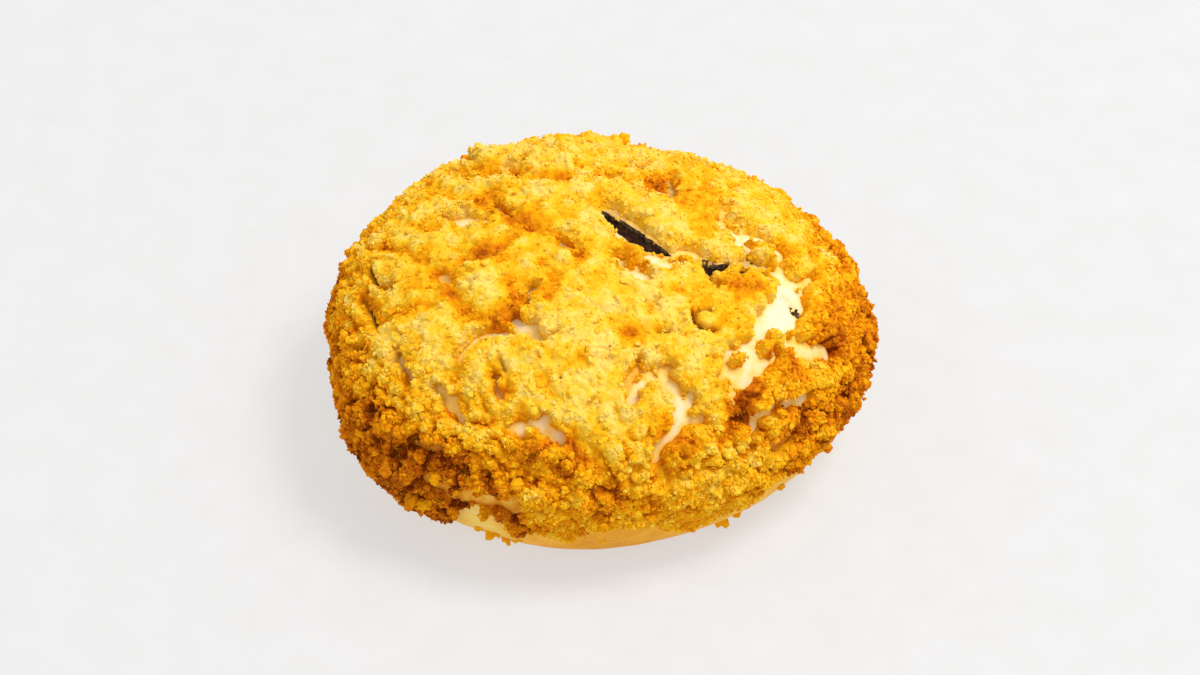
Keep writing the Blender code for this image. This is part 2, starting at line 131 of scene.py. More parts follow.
def roll_points(directions):
    """The points of the roll's skin that directions of the unit sphere are drawn out to."""
    bearing = np.arctan2(directions[:, 1], directions[:, 0])
    flat = np.hypot(directions[:, 0], directions[:, 1])
    rise = directions[:, 2]
    power = np.where(rise > 0.0, DOME_FULLNESS, BELLY_FULLNESS)
    depth = np.where(rise > 0.0, ROLL_HEIGHT - WIDEST_HEIGHT, BELLY_DEPTH)
    stretch = (flat**power + np.abs(rise) ** power) ** (-1.0 / power)
    radius = plan_radius(bearing) * flat * stretch
    height = WIDEST_HEIGHT + depth * rise * stretch
    points = around(radius, bearing, height)
    swell = SWELL * noise_at(points, SWELL_SPACING) * smooth_step(-0.9, 0.0, rise)
    for turn, level, reach, lift in BULGES:
        turn = math.radians(turn)
        middle = plan_radius(turn) * BULGE_MIDDLE
        centre = (middle * math.cos(turn), middle * math.sin(turn), level * MM)
        swell += lift * MM * patch(points, centre, reach)
    points += swell[:, None] * np.column_stack((directions[:, :2], np.maximum(rise, 0.0)))
    points[:, 2] = rounded_foot(points[:, 2])
    return points


def dome_points(plan):
    """The points of the upper skin above points of the plan, which are in mm."""
    plan = np.asarray(plan, float)
    bearing = np.arctan2(plan[:, 1], plan[:, 0])
    out = np.minimum(0.999, np.hypot(plan[:, 0], plan[:, 1]) * MM / plan_radius(bearing))
    up = (1.0 - out**DOME_FULLNESS) ** (1.0 / DOME_FULLNESS)
    return roll_points(unit(around(out, bearing, up)))


def skin_points(angles):
    """The points of the skin at bearings and slopes in degrees."""
    bearing, slope = np.radians(np.asarray(angles, float)).T
    return roll_points(around(np.cos(slope), bearing, np.sin(slope)))


def ball_mesh(divisions):
    """A unit ball made from a divided cube, whose faces are all about the same size."""
    ball = bmesh.new()
    bmesh.ops.create_cube(ball, size=2.0)
    bmesh.ops.subdivide_edges(ball, edges=ball.edges[:], cuts=divisions - 1, use_grid_fill=True)
    for vertex in ball.verts:
        evened = Vector([math.tan(c * math.pi / 4.0) for c in vertex.co])
        vertex.co = evened.normalized()
    return ball


def places_of(shape):
    return np.array([v.co[:] for v in shape.verts])


def normals_of(shape):
    shape.normal_update()
    return np.array([v.normal[:] for v in shape.verts])


def move_points(shape, points):
    for vertex, point in zip(shape.verts, points.tolist()):
        vertex.co = point


def roll_shape(divisions, offset=0.0):
    """The roll's outside as a closed mesh, moved out from the skin by an offset."""
    shape = ball_mesh(divisions)
    move_points(shape, roll_points(places_of(shape)))
    bmesh.ops.recalc_face_normals(shape, faces=shape.faces[:])
    if offset:
        move_points(shape, places_of(shape) + offset * normals_of(shape))
    return shape


def add_piece(name, shape, material=None):
    mesh = bpy.data.meshes.new(name)
    bmesh.ops.triangulate(shape, faces=shape.faces[:])
    shape.to_mesh(mesh)
    shape.free()
    mesh.shade_smooth()
    made = bpy.data.objects.new(name, mesh)
    bpy.context.scene.collection.objects.link(made)
    if material:
        mesh.materials.append(material)
    return made


def combine(target, operation, other):
    """Joins a piece with another or cuts it by it for good, and removes the other."""
    change = target.modifiers.new(operation.title(), "BOOLEAN")
    change.operation = operation
    change.solver = "MANIFOLD"
    change.object = other
    evaluated = target.evaluated_get(bpy.context.evaluated_depsgraph_get())
    result = bpy.data.meshes.new_from_object(evaluated)
    target.modifiers.clear()
    target.data = result
    bpy.data.objects.remove(other, do_unlink=True)


def paste_ball(offset):
    """The rounded mass of bean paste, moved out by an offset."""
    shape = bmesh.new()
    bmesh.ops.create_uvsphere(shape, u_segments=72, v_segments=36, radius=1.0)
    bmesh.ops.scale(shape, verts=shape.verts[:], vec=PASTE_RADII + offset)
    bmesh.ops.translate(shape, verts=shape.verts[:], vec=PASTE_CENTRE)
    return shape


def along_split(line, share):
    """Points of the plan at shares of the way along a split's line, and the directions across it."""
    points = np.array(line) * MM
    ways = unit(np.diff(points, axis=0))
    ways = unit(np.vstack((ways[:1], ways[:-1] + ways[1:], ways[-1:])))
    place = share * (len(points) - 1)
    index = np.minimum(place.astype(int), len(points) - 2)
    part = (place - index)[:, None]
    along = ways[index] + part * (ways[index + 1] - ways[index])
    side = unit(np.column_stack((-along[:, 1], along[:, 0])))
    return points[index] + part * (points[index + 1] - points[index]), side


def half_width(width, share):
    """Half of a split's width at shares of the way along it."""
    return 0.5 * width * np.maximum(SPLIT_TIP, np.maximum(0.0, np.sin(math.pi * share)) ** SPLIT_FULLNESS)


def lens_shape(line, width, top_drop, rows=3):
    """A closed upright wedge from the paste's middle up, pointed at both ends, with ragged sides."""
    shape = bmesh.new()
    bmesh.ops.create_grid(shape, x_segments=SPLIT_STEPS, y_segments=rows, size=1.0)
    grid = places_of(shape)
    share = (grid[:, 0] + 1.0) / 2.0
    middle, side = along_split(line, share)
    half = half_width(width, share)
    place = middle + side * (grid[:, 1] * half)[:, None]
    flat = np.column_stack((middle + side * (np.sign(grid[:, 1]) * half)[:, None], np.zeros(len(place))))
    ragged = noise_at(flat, 2.2 * MM) + 0.6 * noise_at(flat, 0.8 * MM)
    place += side * (np.abs(grid[:, 1]) * SPLIT_RAGGED * 2.0 * half / width * ragged)[:, None]
    top = dome_points(place / MM)[:, 2] - top_drop
    move_points(shape, np.column_stack((place, top)))
    skirt = bmesh.ops.extrude_face_region(shape, geom=shape.faces[:])
    for vertex in [g for g in skirt["geom"] if isinstance(g, bmesh.types.BMVert)]:
        vertex.co.z = PASTE_CENTRE[2]
    bmesh.ops.recalc_face_normals(shape, faces=shape.faces[:])
    return shape


# Bare strips between the plates: width in mm, how baked the skin is there, how torn and grey it is (the grey
# in part painted shade), then the bearing and slope in degrees of points along them
BARE_STRIPS = (
    (2, 0.1, 0, ((4.5, 50.3), (-0.6, 50.1), (-9.2, 48.9))),
    (2.1, 0.1, 0, ((-5.7, 53.2), (-8.4, 50.8), (-11.1, 48.4))),
    (6, 0.00, 0, ((-10.9, 46.4), (-15.5, 45.7), (-20.6, 44.9))),
    (6.5, 0.04, 0, ((-16.3, 45.7), (-25.1, 44.4), (-34.3, 42.6), (-41.7, 42.7))),
    (4, 0.04, 0, ((-20.9, 43.3), (-24.8, 39.4))),
    (5.3, 0.14, 0, ((-43.1, 42.9), (-46.7, 41.1))),
    (3.1, 0.18, 0, ((-47.5, 40.8), (-50, 37.7))),
    (3.5, 0.22, 0, ((-26.3, 37.2), (-24.8, 33.7), (-21.5, 30.6))),
    (0.9, 0.14, 0, ((-7, 43.6), (-4.6, 42.1), (-2.1, 40.5))),
    (1.4, 0.15, 0, ((24.9, 58.6), (16.3, 61.8), (11.2, 61.4))),
    (3.2, 0.04, 0, ((9.7, 60.7), (6.5, 59.4), (1.8, 59.1))),
    (2.2, 0.04, 0, ((7.4, 59.3), (7.7, 55.8), (6, 52.5))),
    (1.1, 0.2, 0.8, ((0.5, 58.4), (-3.4, 57.6))),
    (2, 0.2, 0.8, ((-7.5, 58.2), (-5.8, 56.6), (-7, 53.2))),
    (1.8, 0.04, 0, ((22.1, 85), (-5.8, 83.3))),
    (2.5, 0.04, 0, ((-21.7, 76.8), (-24.8, 74.1), (-22, 71.9))),
    (1.5, 0.2, 0.7, ((72, 78.3), (51.4, 79.4))),
    (1.2, 0.2, 0.5, ((36.3, 80.1), (16.8, 79.5), (2.8, 78.3))),
    (1.5, 0.15, 0, ((-16.5, 74), (-9, 72.1), (-8.4, 69.5), (-11.2, 67.3))),
    (1.4, 0.1, 0, ((-52.4, 81.2), (-53.1, 77.1))),
    (2.7, 0.06, 0, ((-52.2, 76.3), (-51.1, 72.9))),
    (1.1, 0.12, 0, ((-174.9, 82.8), (-151.7, 84.1), (-120.9, 82.7))),
    (3.6, 0.1, 0, ((52.4, 67.1), (47.4, 65.8))),
    (1.3, 0.25, 0.7, ((55.3, 57.6), (46.4, 63.3))),
    (2.7, 0.2, 0.1, ((-67.8, 48.8), (-66.4, 45.3), (-65.1, 41.7), (-65, 37.6))),
    (3.4, 0.06, 0, ((-65, 37.6), (-66.5, 34.3))),
    (1.6, 0.12, 0, ((-66.8, 33.3), (-70.8, 30.8), (-73.3, 28.9), (-74.8, 25.1))),
    (1.6, 0.15, 0, ((-69.8, 47.6), (-74.3, 46.6), (-77.9, 44.8))),
    (2.2, 0.02, 0, ((-76.4, 46.4), (-78.1, 43.2))),
    (1.2, 0.15, 0, ((-64, 34.5), (-60.8, 32.8))),
    (1.0, 0.15, 0.3, ((-131.2, 70.1), (-127.9, 66), (-126, 61.8))),
    (1.5, 0.1, 0.3, ((-127.3, 61.5), (-120.5, 60.9), (-112.5, 59.2))),
    (1.4, 0.12, 0, ((-127.4, 57.2), (-131.9, 55.1), (-134.1, 52.5), (-134.8, 49.1), (-134.1, 46.6))),
    (0.8, 0.15, 0, ((-125.2, 57.4), (-121.5, 58.7))),
    (1.9, 0.08, 0, ((-109, 35), (-106.9, 36.6), (-104.2, 37.4))),
    (2.1, 0.08, 0, ((-104.2, 37.4), (-101.1, 35.6), (-99.3, 33.8))),
    (0.9, 0.16, 0.2, ((-135, 37.7), (-131.7, 37.1), (-128.7, 34.3))),
    (0.8, 0.16, 0.3, ((-150, 36.7), (-145, 35.9), (-139.7, 33.2))),
    (1.0, 0.45, 0.3, ((-166.3, 23.4), (-160.8, 26.8))),
    (2.2, 0.2, 1.0, ((-12.2, 66.3), (-13.8, 65.3), (-16.1, 64.2))),
    (3.3, 0.05, 0, ((160, 57), (163, 60.5), (162.2, 65))),
    (0.6, 0.15, 0, ((149.1, 64.5), (154.6, 68.9))),
    (4.2, 0.15, 0, ((111.1, 47.5), (105.9, 50.8))),
    (2.2, 0.1, 0, ((137, 50.5), (134.1, 51.6), (133.1, 53.6))),
    (2.6, 0.1, 0, ((129.8, 52), (127, 54.4), (121.5, 55.1))),
    (0.9, 0.15, 0, ((125.1, 58.5), (126.1, 62.9))),
    (1.8, 0.12, 0, ((-31.8, 22.1), (-36.3, 24.9), (-40.6, 27), (-44.2, 26.9), (-47, 25.6))),
    (1.5, 0.12, 0, ((-47.2, 25.6), (-49.6, 23.6), (-51.2, 20.6), (-52.9, 18.3))),
    (0.8, 0.3, 0.6, ((-120.7, 46.7), (-117.4, 42.7))),
    (0.8, 0.3, 0, ((-73.5, 51.8), (-77.1, 48.7), (-79.8, 46.1))),
    (1.1, 0.15, 0, ((-168.7, 55.6), (-162.7, 56.3))),
    (1.0, 0.2, 0, ((-174.7, 39.7), (-171.2, 43.3))),
    (1.8, 0.15, 0, ((87.2, 66), (79.5, 66.1))),
    (2.2, 0.15, 0, ((72, 58), (69.2, 57))),
    (1.0, 0.2, 0.6, ((-25.4, 62.5), (-27.1, 60.7))),
    (1.0, 0.24, 0, ((-128.9, 36), (-124.7, 33.5))),
    (1.4, 0.6, 0, ((-131.9, 19), (-127.4, 21))),
    (3.2, 0.5, 0, ((-128, 6.7), (-123, 6.5), (-117.2, 5.6))),
    (3.4, 0.4, 0, ((-113.5, 7.8), (-108.5, 7.4))),
    (2, 0.6, 0.1, ((-46.2, 14.1), (-40.3, 13.5))),
)
FAR_STRIPS = 9  # more of them, spread over the rear side by rule
FAR_STRIP_BEARINGS = (32.0, 150.0)
FAR_STRIP_SLOPES = (20.0, 32.0, 26.0)  # how high they lie in turn, in degrees
FAR_STRIP_LENGTH = (7.0, 16.0)  # in degrees
FAR_STRIP_TILT = 0.8  # most that they lean, in radians
FAR_STRIP_BEND = 3.0  # in degrees
FAR_STRIP_WIDTH = (1.44 * MM, 3.52 * MM)
FAR_TAIL_WIDTH = 1.1 * MM  # of the thin crack that branches off from each
FAR_STRIP_TONE = 0.18
STRIP_WAVER = 0.5  # how much the strips' width wavers, as a share of it
STRIP_WAVER_SPACING = 2.2 * MM
WIDEST_WAVER = 3.2 * MM
LOWER_EDGE = 12.4 * MM  # mean height of the crumb layer's ragged lower edge
LOWER_EDGE_WANDER = 3.2 * MM
LOWER_EDGE_SPACING = 9.0 * MM
# The lower edge along the front and the left: bearing in degrees and height in mm
FRONT_EDGE = (
    (-166, 9), (-156, 7), (-146, 6), (-134, 5.5), (-125, 7), (-121, 13.5), (-118, 16),
    (-111, 14.8), (-108, 10.3), (-102, 12.6), (-96, 10.2), (-89, 13.7), (-82, 13.7), (-75, 12.2),
    (-67, 8.7), (-63, 10), (-55, 10.6), (-50, 10.2), (-48, 13.9), (-38, 13),
)
FRONT_EDGE_FADE = 12.0  # degrees over which it passes into the wandering edge
EDGE_WAVES = ((0.55 * MM, 3.0 * MM), (0.25 * MM, 7.0 * MM), (0.90 * MM, 1.6 * MM))
# Islands of crumbs inside the gaps: bearing and slope in degrees, and radius in mm
ISLANDS = (
    (-34.1, 42.5, 1.8), (-29.6, 42.4, 1.9), (-44.1, 43.9, 1.1), (-8.4, 44.1, 0.7), (-24.9, 40.9, 0.8),
    (-72.2, 44.1, 1.5), (-72.3, 40.8, 1.2), (-69.2, 38.7, 1.4), (-71, 35.9, 1.6), (-71.4, 32.7, 1.1),
    (-62.5, 35.4, 0.9), (-40, 24.3, 1.1),
)


def far_strips():
    """Bare strips over the rear side of the roll, where the front's pattern goes on."""
    draw = random.Random(7)
    first, last = FAR_STRIP_BEARINGS
    step = (last - first) / FAR_STRIPS
    strips = []
    for index in range(FAR_STRIPS):
        bearing = first + step * (index + draw.uniform(0.1, 0.9))
        slope = FAR_STRIP_SLOPES[index % len(FAR_STRIP_SLOPES)]
        tilt = draw.uniform(-FAR_STRIP_TILT, FAR_STRIP_TILT)
        half = 0.5 * draw.uniform(*FAR_STRIP_LENGTH)
        across, up = half * math.cos(tilt), half * math.sin(tilt)
        bend = FAR_STRIP_BEND if index % 2 else -FAR_STRIP_BEND
        middle = (bearing, slope + bend)
        line = ((bearing - across, slope - up), middle, (bearing + across, slope + up))
        tail = (middle, (bearing + 0.3 * half, slope + 2.0 * bend), (bearing, slope + 4.0 * bend))
        strips.append((draw.uniform(*FAR_STRIP_WIDTH), FAR_STRIP_TONE, 0.0, skin_points(line)))
        strips.append((FAR_TAIL_WIDTH, FAR_STRIP_TONE, 0.0, skin_points(tail)))
    return strips


def distance_to_line(points, line):
    """From each point to the nearest stretch of a line of points."""
    nearest = np.full(len(points), np.inf)
    for start, end in zip(line, line[1:]):
        along = end - start
        share = np.clip((points - start) @ along / (along @ along), 0.0, 1.0)
        gap = points - start - share[:, None] * along
        nearest = np.minimum(nearest, np.sqrt((gap**2).sum(axis=1)))
    return nearest


bare_strips = [(width * MM, tone, torn_and_shaded, skin_points(line)) for width, tone, torn_and_shaded, line in BARE_STRIPS]
bare_strips += far_strips()


def stripe(points, angles, reach):
    """1 along a line of bearings and slopes on the skin, fading to nothing beyond a reach in mm."""
    return np.exp(-(distance_to_line(points, skin_points(angles)) / (reach * MM)) ** 2)


def bearings_of(points):
    return np.degrees(np.arctan2(points[:, 1], points[:, 0]))


def facing(points, bearing, reach):
    """1 on the side that faces a bearing, fading to nothing beyond a reach in degrees."""
    return np.exp(-((bearings_of(points) - bearing) / reach) ** 2)


def lower_edge(skin):
    """The height of the crumb layer's lower edge in the direction of each point."""
    bearing = bearings_of(skin)
    wandering = LOWER_EDGE + LOWER_EDGE_WANDER * noise_at(skin, LOWER_EDGE_SPACING)
    turns, heights = np.array(FRONT_EDGE).T
    front = np.interp(bearing, turns, heights * MM)
    share = smooth_step(turns[0] - FRONT_EDGE_FADE, turns[0], bearing)
    share *= 1.0 - smooth_step(turns[-1], turns[-1] + FRONT_EDGE_FADE, bearing)
    return wandering + share * (front - wandering)


def distance_to_splits(skin):
    """From each point to the nearest edge of a split; below zero over the split itself."""
    share = np.linspace(0.0, 1.0, SPLIT_STEPS + 1)
    nearest = np.full(len(skin), np.inf)
    for line, width in SPLITS:
        middles = dome_points(along_split(line, share)[0] / MM)
        for middle, half in zip(middles, half_width(width, share)):
            nearest = np.minimum(nearest, np.sqrt(((skin - middle) ** 2).sum(axis=1)) - half)
    return nearest


def depth_under_crumbs(skin):
    """How far inside the crumb layer's edge each point of the skin lies; below zero where it is bare."""
    inside = skin[:, 2] - lower_edge(skin)
    waver = STRIP_WAVER * noise_at(skin, STRIP_WAVER_SPACING)
    for width, tone, torn_and_shaded, line in bare_strips:
        half = width / 2.0 + min(width, WIDEST_WAVER) * waver
        inside = np.minimum(inside, distance_to_line(skin, line) - half)
    for turn, slope, radius in ISLANDS:
        away = skin - skin_points(((turn, slope),))
        inside = np.maximum(inside, radius * MM - np.sqrt((away**2).sum(axis=1)))
    beside = distance_to_splits(skin) + CRUMBS_OVER_SPLITS
    inside = np.minimum(inside, beside)
    waves = sum(size * noise_at(skin, spacing) for size, spacing in EDGE_WAVES)
    return inside + waves * (0.8 + 0.2 * smooth_step(1.0 * MM, 3.0 * MM, beside))


def set_values(piece, name, values, where="POINT"):
    layer = piece.data.attributes.new(name, "FLOAT", where)
    layer.data.foreach_set("value", np.asarray(values, np.float32))


class Finish:
    """A Principled material and short ways to add the nodes that colour it."""

    def __init__(self, name, roughness, specular):
        self.material = bpy.data.materials.new(name)
        self.material.use_nodes = True
        self.tree = self.material.node_tree
        self.shader = self.tree.nodes["Principled BSDF"]
        self.fill(self.shader, {"Roughness": roughness, "Specular IOR Level": specular})
        self.place = self.tree.nodes.new("ShaderNodeTexCoord").outputs["Object"]

    def fill(self, node, sockets):
        """Puts a number, a colour or another node's output into each socket."""
        for socket, source in sockets.items():
            if isinstance(source, bpy.types.NodeSocket):
                self.tree.links.new(source, node.inputs[socket])
            else:
                node.inputs[socket].default_value = source
        return node

    def node(self, kind, sockets):
        return self.fill(self.tree.nodes.new(kind), sockets)

    def value(self, name):
        """An attribute of the mesh."""
        node = self.tree.nodes.new("ShaderNodeAttribute")
        node.attribute_name = name
        return node.outputs["Fac"]

    def grain(self, spacing, detail=3.0):
        """Noise between 0 and 1 whose waves are one spacing long."""
        sockets = {"Vector": self.place, "Scale": 1.0 / spacing, "Detail": detail, "Roughness": 0.6}
        return self.node("ShaderNodeTexNoise", sockets).outputs["Fac"]

    def cells(self, spacing, feature="F1", output="Distance", place=None):
        """The distance to the middle or the edge of scattered cells, or a chance value of each."""
        node = self.node("ShaderNodeTexVoronoi", {"Vector": place or self.place, "Scale": 1.0 / spacing})
        node.feature = feature
        return node.outputs[output]

    def height(self):
        return self.node("ShaderNodeSeparateXYZ", {0: self.place}).outputs["Z"]

    def bent_place(self, spacing, reach):
        """The place pushed about by noise, so that cells drawn there have ragged edges."""
        push = self.node("ShaderNodeTexNoise", {"Vector": self.place, "Scale": 1.0 / spacing})
        node = self.tree.nodes.new("ShaderNodeVectorMath")
        node.operation = "MULTIPLY_ADD"
        return self.fill(node, {0: push.outputs["Color"], 1: (reach,) * 3, 2: self.place}).outputs[0]

    def math(self, operation, amount, *others):
        """Several amounts added up or multiplied."""
        for other in others:
            node = self.node("ShaderNodeMath", {0: amount, 1: other})
            node.operation = operation
            amount = node.outputs[0]
        return amount

    def between(self, source, low, high, to_low=0.0, to_high=1.0):
        """Maps the range low to high onto another one, and holds it there."""
        sockets = {"Value": source, "From Min": low, "From Max": high, "To Min": to_low, "To Max": to_high}
        return self.node("ShaderNodeMapRange", sockets).outputs["Result"]

    def ramp(self, source, stops):
        """A colour for each amount: stops are (amount, (red, green, blue))."""
        node = self.node("ShaderNodeValToRGB", {"Fac": source})
        band = node.color_ramp.elements
        band.remove(band[-1])
        band[0].position = stops[0][0]
        band[0].color = (*stops[0][1], 1.0)
        for amount, colour in stops[1:]:
            band.new(amount).color = (*colour, 1.0)
        return node.outputs["Color"]

    def blend(self, amount, under, over):
        """One colour laid over another by an amount."""
        under, over = ((*c, 1.0) if isinstance(c, tuple) else c for c in (under, over))
        node = self.tree.nodes.new("ShaderNodeMix")
        node.data_type = "RGBA"
        return self.fill(node, {0: amount, 6: under, 7: over}).outputs[2]

    def paint(self, colour):
        self.fill(self.shader, {"Base Color": colour})

    def relief(self, height, depth, strength):
        bump = self.node("ShaderNodeBump", {"Height": height, "Distance": depth, "Strength": strength})
        self.fill(self.shader, {"Normal": bump.outputs["Normal"]})

    def glow(self, amount, reach, tint):
        """Light that spreads under the surface: how much, how far, and each colour's share of that."""
        self.fill(self.shader, {
            "Subsurface Weight": amount, "Subsurface Scale": reach, "Subsurface Radius": tint,
        })


def bread_finish():
    finish = Finish("roll_skin", 0.7, 0.08)
    baked = finish.value("baked")
    patchy = finish.between(finish.grain(6.0 * MM, 4.0), 0.3, 0.7, -0.07, 0.07)
    fine = finish.between(finish.grain(0.8 * MM), 0.3, 0.7, -0.05, 0.05)
    colour = finish.ramp(finish.math("ADD", baked, patchy, fine), (
        (0.0, (0.88, 0.76, 0.56)),
        (0.12, (0.91, 0.73, 0.4)),
        (0.3, (0.92, 0.62, 0.13)),
        (0.5, (0.88, 0.42, 0.035)),
        (0.7, (0.7, 0.26, 0.012)),
        (0.88, (0.42, 0.13, 0.014)),
        (1.0, (0.2, 0.055, 0.008)),
    ))
    # Grey-brown where the skin is torn, in part painted shade at the splits and in shaded strips
    colour = finish.blend(finish.math("MULTIPLY", finish.value("torn_and_shaded"), 0.75), colour, (0.36, 0.24, 0.11))
    # Small pale blisters, partly painted glints of light, and dark pores in the baked part of the skin
    where = finish.between(finish.math("MULTIPLY", baked, finish.grain(2.0 * MM)), 0.2, 0.34)
    where = finish.math("MULTIPLY", where, finish.between(finish.height(), 11.0 * MM, 14.0 * MM, 1.0, 0.0))
    blister_and_glint = finish.between(finish.cells(0.55 * MM), 0.12, 0.3, 0.4, 0.0)
    colour = finish.blend(finish.math("MULTIPLY", blister_and_glint, where), colour, (0.93, 0.60, 0.16))
    pore = finish.between(finish.cells(1.9 * MM), 0.05, 0.11, 0.6, 0.0)
    colour = finish.blend(finish.math("MULTIPLY", pore, where), colour, (0.3, 0.1, 0.015))
    # Bean paste smeared over the torn walls of the splits and into the tears, painted near-black also as the
    # shade inside them
    smear_and_shade = finish.between(finish.grain(0.7 * MM), 0.42, 0.62)
    smear_and_shade = finish.blend(smear_and_shade, (0.03, 0.013, 0.006), (0.16, 0.10, 0.05))
    finish.paint(finish.blend(finish.value("smeared_and_shaded"), colour, smear_and_shade))
    coarse = finish.math("MULTIPLY", finish.grain(2.2 * MM), 1.5)
    finish.relief(finish.math("ADD", finish.grain(0.5 * MM, 4.0), coarse), 0.12 * MM, 0.5)
    finish.glow(0.12, 1.0 * MM, (1.0, 0.7, 0.35))
    return finish.material


# How baked the bare skin is: 0 is cream, 0.3 yellow and 0.6 golden brown
SKIN_TONE = 0.12
TONE_BESIDE_CRUMBS = 0.20  # what is added at the crumbs' edge
FOOT_TONE = 0.40
BASE_TONE = 0.66
BROWN_FOOT = (-88, 24)  # bearing and reach in degrees
PALE_FOOT = (-118, 6)


def gap_tones(skin, inside):
    """How baked the bare skin is, and how grey: torn dough, and painted shade along the splits and in some
    strips.
    """
    tone = np.full(len(skin), SKIN_TONE)
    torn_and_shaded = np.zeros(len(skin))
    for width, strip_tone, strip_torn_and_shaded, line in bare_strips:
        share = smooth_step(0.9 * MM, 0.0, distance_to_line(skin, line) - width / 2.0)
        tone += (strip_tone - tone) * share
        torn_and_shaded += (strip_torn_and_shaded - torn_and_shaded) * share
    # Painted shade: the skin greys towards the edges of the splits
    torn_and_shaded = np.maximum(torn_and_shaded, 0.5 * smooth_step(0.5 * MM, -0.1 * MM, distance_to_splits(skin)))
    tone += 0.10 * noise_at(skin, 5.0 * MM) + 0.08 * noise_at(skin, 1.8 * MM)
    tone += TONE_BESIDE_CRUMBS * np.exp(-(np.minimum(0.0, inside) / (0.7 * MM)) ** 2)
    foot = FOOT_TONE + 0.16 * facing(skin, *BROWN_FOOT) - 0.10 * facing(skin, *PALE_FOOT)
    foot += 0.08 * noise_at(skin, 13.0 * MM) + 0.06 * noise_at(skin, 3.0 * MM)
    tone += (np.maximum(foot, tone) - tone) * (1.0 - risen(skin, 13, 19))
    base = BASE_TONE + 0.14 * noise_at(skin, 11.0 * MM) + 0.12 * noise_at(skin, 2.6 * MM)
    return tone + (base - tone) * (1.0 - risen(skin, 0, 2.2)), torn_and_shaded


roll_ball = roll_shape(ROLL_DIVISIONS)
roll_skin = places_of(roll_ball)
wrinkles = sum(size * noise_at(roll_skin, spacing) for size, spacing in SKIN_WRINKLES)
wrinkles *= risen(roll_skin, 0.2, 2)
for width, angles in SKIN_TEARS:
    wrinkles -= TEAR_DEPTH * stripe(roll_skin, angles, 0.5 * width)
move_points(roll_ball, roll_skin + wrinkles[:, None] * normals_of(roll_ball))
roll = add_piece("roll_bread", roll_ball, bread_finish())
combine(roll, "DIFFERENCE", add_piece("paste_room", paste_ball(PASTE_GAP)))
for line, width in SPLITS:
    combine(roll, "DIFFERENCE", add_piece("split_room", lens_shape(line, width, -CUT_ABOVE_SKIN)))
roll_places = np.array([v.co[:] for v in roll.data.vertices])
roll_baked, roll_torn_and_shaded = gap_tones(roll_places, depth_under_crumbs(roll_places))
set_values(roll, "baked", roll_baked)
set_values(roll, "torn_and_shaded", roll_torn_and_shaded)
# Faces painted dark as paste and painted shade: the steep torn walls of the splits, and the tears
wall_places = np.array([face.center[:] for face in roll.data.polygons])
wall_steepness = np.array([abs(face.normal.z) for face in roll.data.polygons])
smeared_and_shaded = (wall_places[:, 2] > PASTE_CENTRE[2]) & (wall_steepness < 0.6)
smeared_and_shaded &= distance_to_splits(wall_places) < WALL_REACH
for width, angles in SKIN_TEARS:
    ragged = width * MM * (0.5 + 0.4 * noise_at(wall_places, 0.9 * MM))
    smeared_and_shaded |= distance_to_line(wall_places, skin_points(angles)) < ragged
set_values(roll, "smeared_and_shaded", smeared_and_shaded, "FACE")
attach(roll, "root")
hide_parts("roll")

# The bean paste
# Dark sweet paste of mashed red beans, moist and a little glossy, that fills the roll. It was pushed up into
# the splits in the top, where it shows as two lumpy ridges.
PASTE_BELOW_SKIN = 0.8 * MM
PASTE_LUMPS = ((0.6 * MM, 2.4 * MM), (0.4 * MM, 0.9 * MM))  # size and spacing
PASTE_LUMP_LIMIT = 0.45 * MM
LUMPS_ABOVE = PASTE_CENTRE[2] + 3.0 * MM


def paste_finish():
    finish = Finish("bean_paste", 0.55, 0.07)
    finish.paint(finish.ramp(finish.grain(1.3 * MM, 5.0), (
        (0.3, (0.01, 0.003, 0.001)), (0.5, (0.026, 0.009, 0.003)), (0.68, (0.07, 0.026, 0.009)),
    )))
    finish.relief(finish.grain(0.6 * MM, 5.0), 0.25 * MM, 0.8)
    return finish.material


paste = add_piece("bean_paste_filling", paste_ball(0.0), paste_finish())
for line, width in SPLITS:
    ridge = lens_shape(line, width - 2.0 * PASTE_GAP, PASTE_BELOW_SKIN, rows=9)
    upper = places_of(ridge)
    lumps = sum(size * noise_at(upper, spacing) for size, spacing in PASTE_LUMPS)
    upper[:, 2] += np.where(upper[:, 2] > LUMPS_ABOVE, np.minimum(lumps, PASTE_LUMP_LIMIT), 0.0)
    move_points(ridge, upper)
    combine(paste, "UNION", add_piece("paste_ridge", ridge))
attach(paste, "root")
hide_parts("bean_paste")

# The crumb crust
# A layer of butter, sugar and flour rubbed into crumbs and pressed onto the dough. It baked dry and golden,
# and broke into rounded plates with orange valleys between them as the roll swelled; that orange is partly
# painted shade.
CRUST_THICKNESS = 2.3 * MM
THINNEST_CRUST = 0.9 * MM
CRUST_SINK = 0.9 * MM  # how far below the skin it dips where the skin is bare, before it is cut off there
CRUST_UNDERSIDE = -0.15 * MM
CRUST_DIVISIONS = 150
FINER_ON_TOP = 0.3  # shifts the divisions upwards by this share of the unit ball's radius
PLATE_SPACING = 11.0 * MM
PLATE_RELIEF = 1.5 * MM
GROOVE_WIDTH = 0.45
LUMP_SPACING = 4.2 * MM
LUMPS_ON_TOP = 0.5 * MM
LUMPS_ON_SIDES = 1.0 * MM
SIDE_HEIGHT = 24.0 * MM
TOP_HEIGHT = 36.0 * MM
LOWER_EDGE_THINNING = 7.0 * MM
LOWER_EDGE_THICKNESS = 0.55
EDGE_SLOPE = 1.3 * MM
THICKER_ON_TOP = 0.25 * MM
THINNER_ON_SIDES = 0.45 * MM
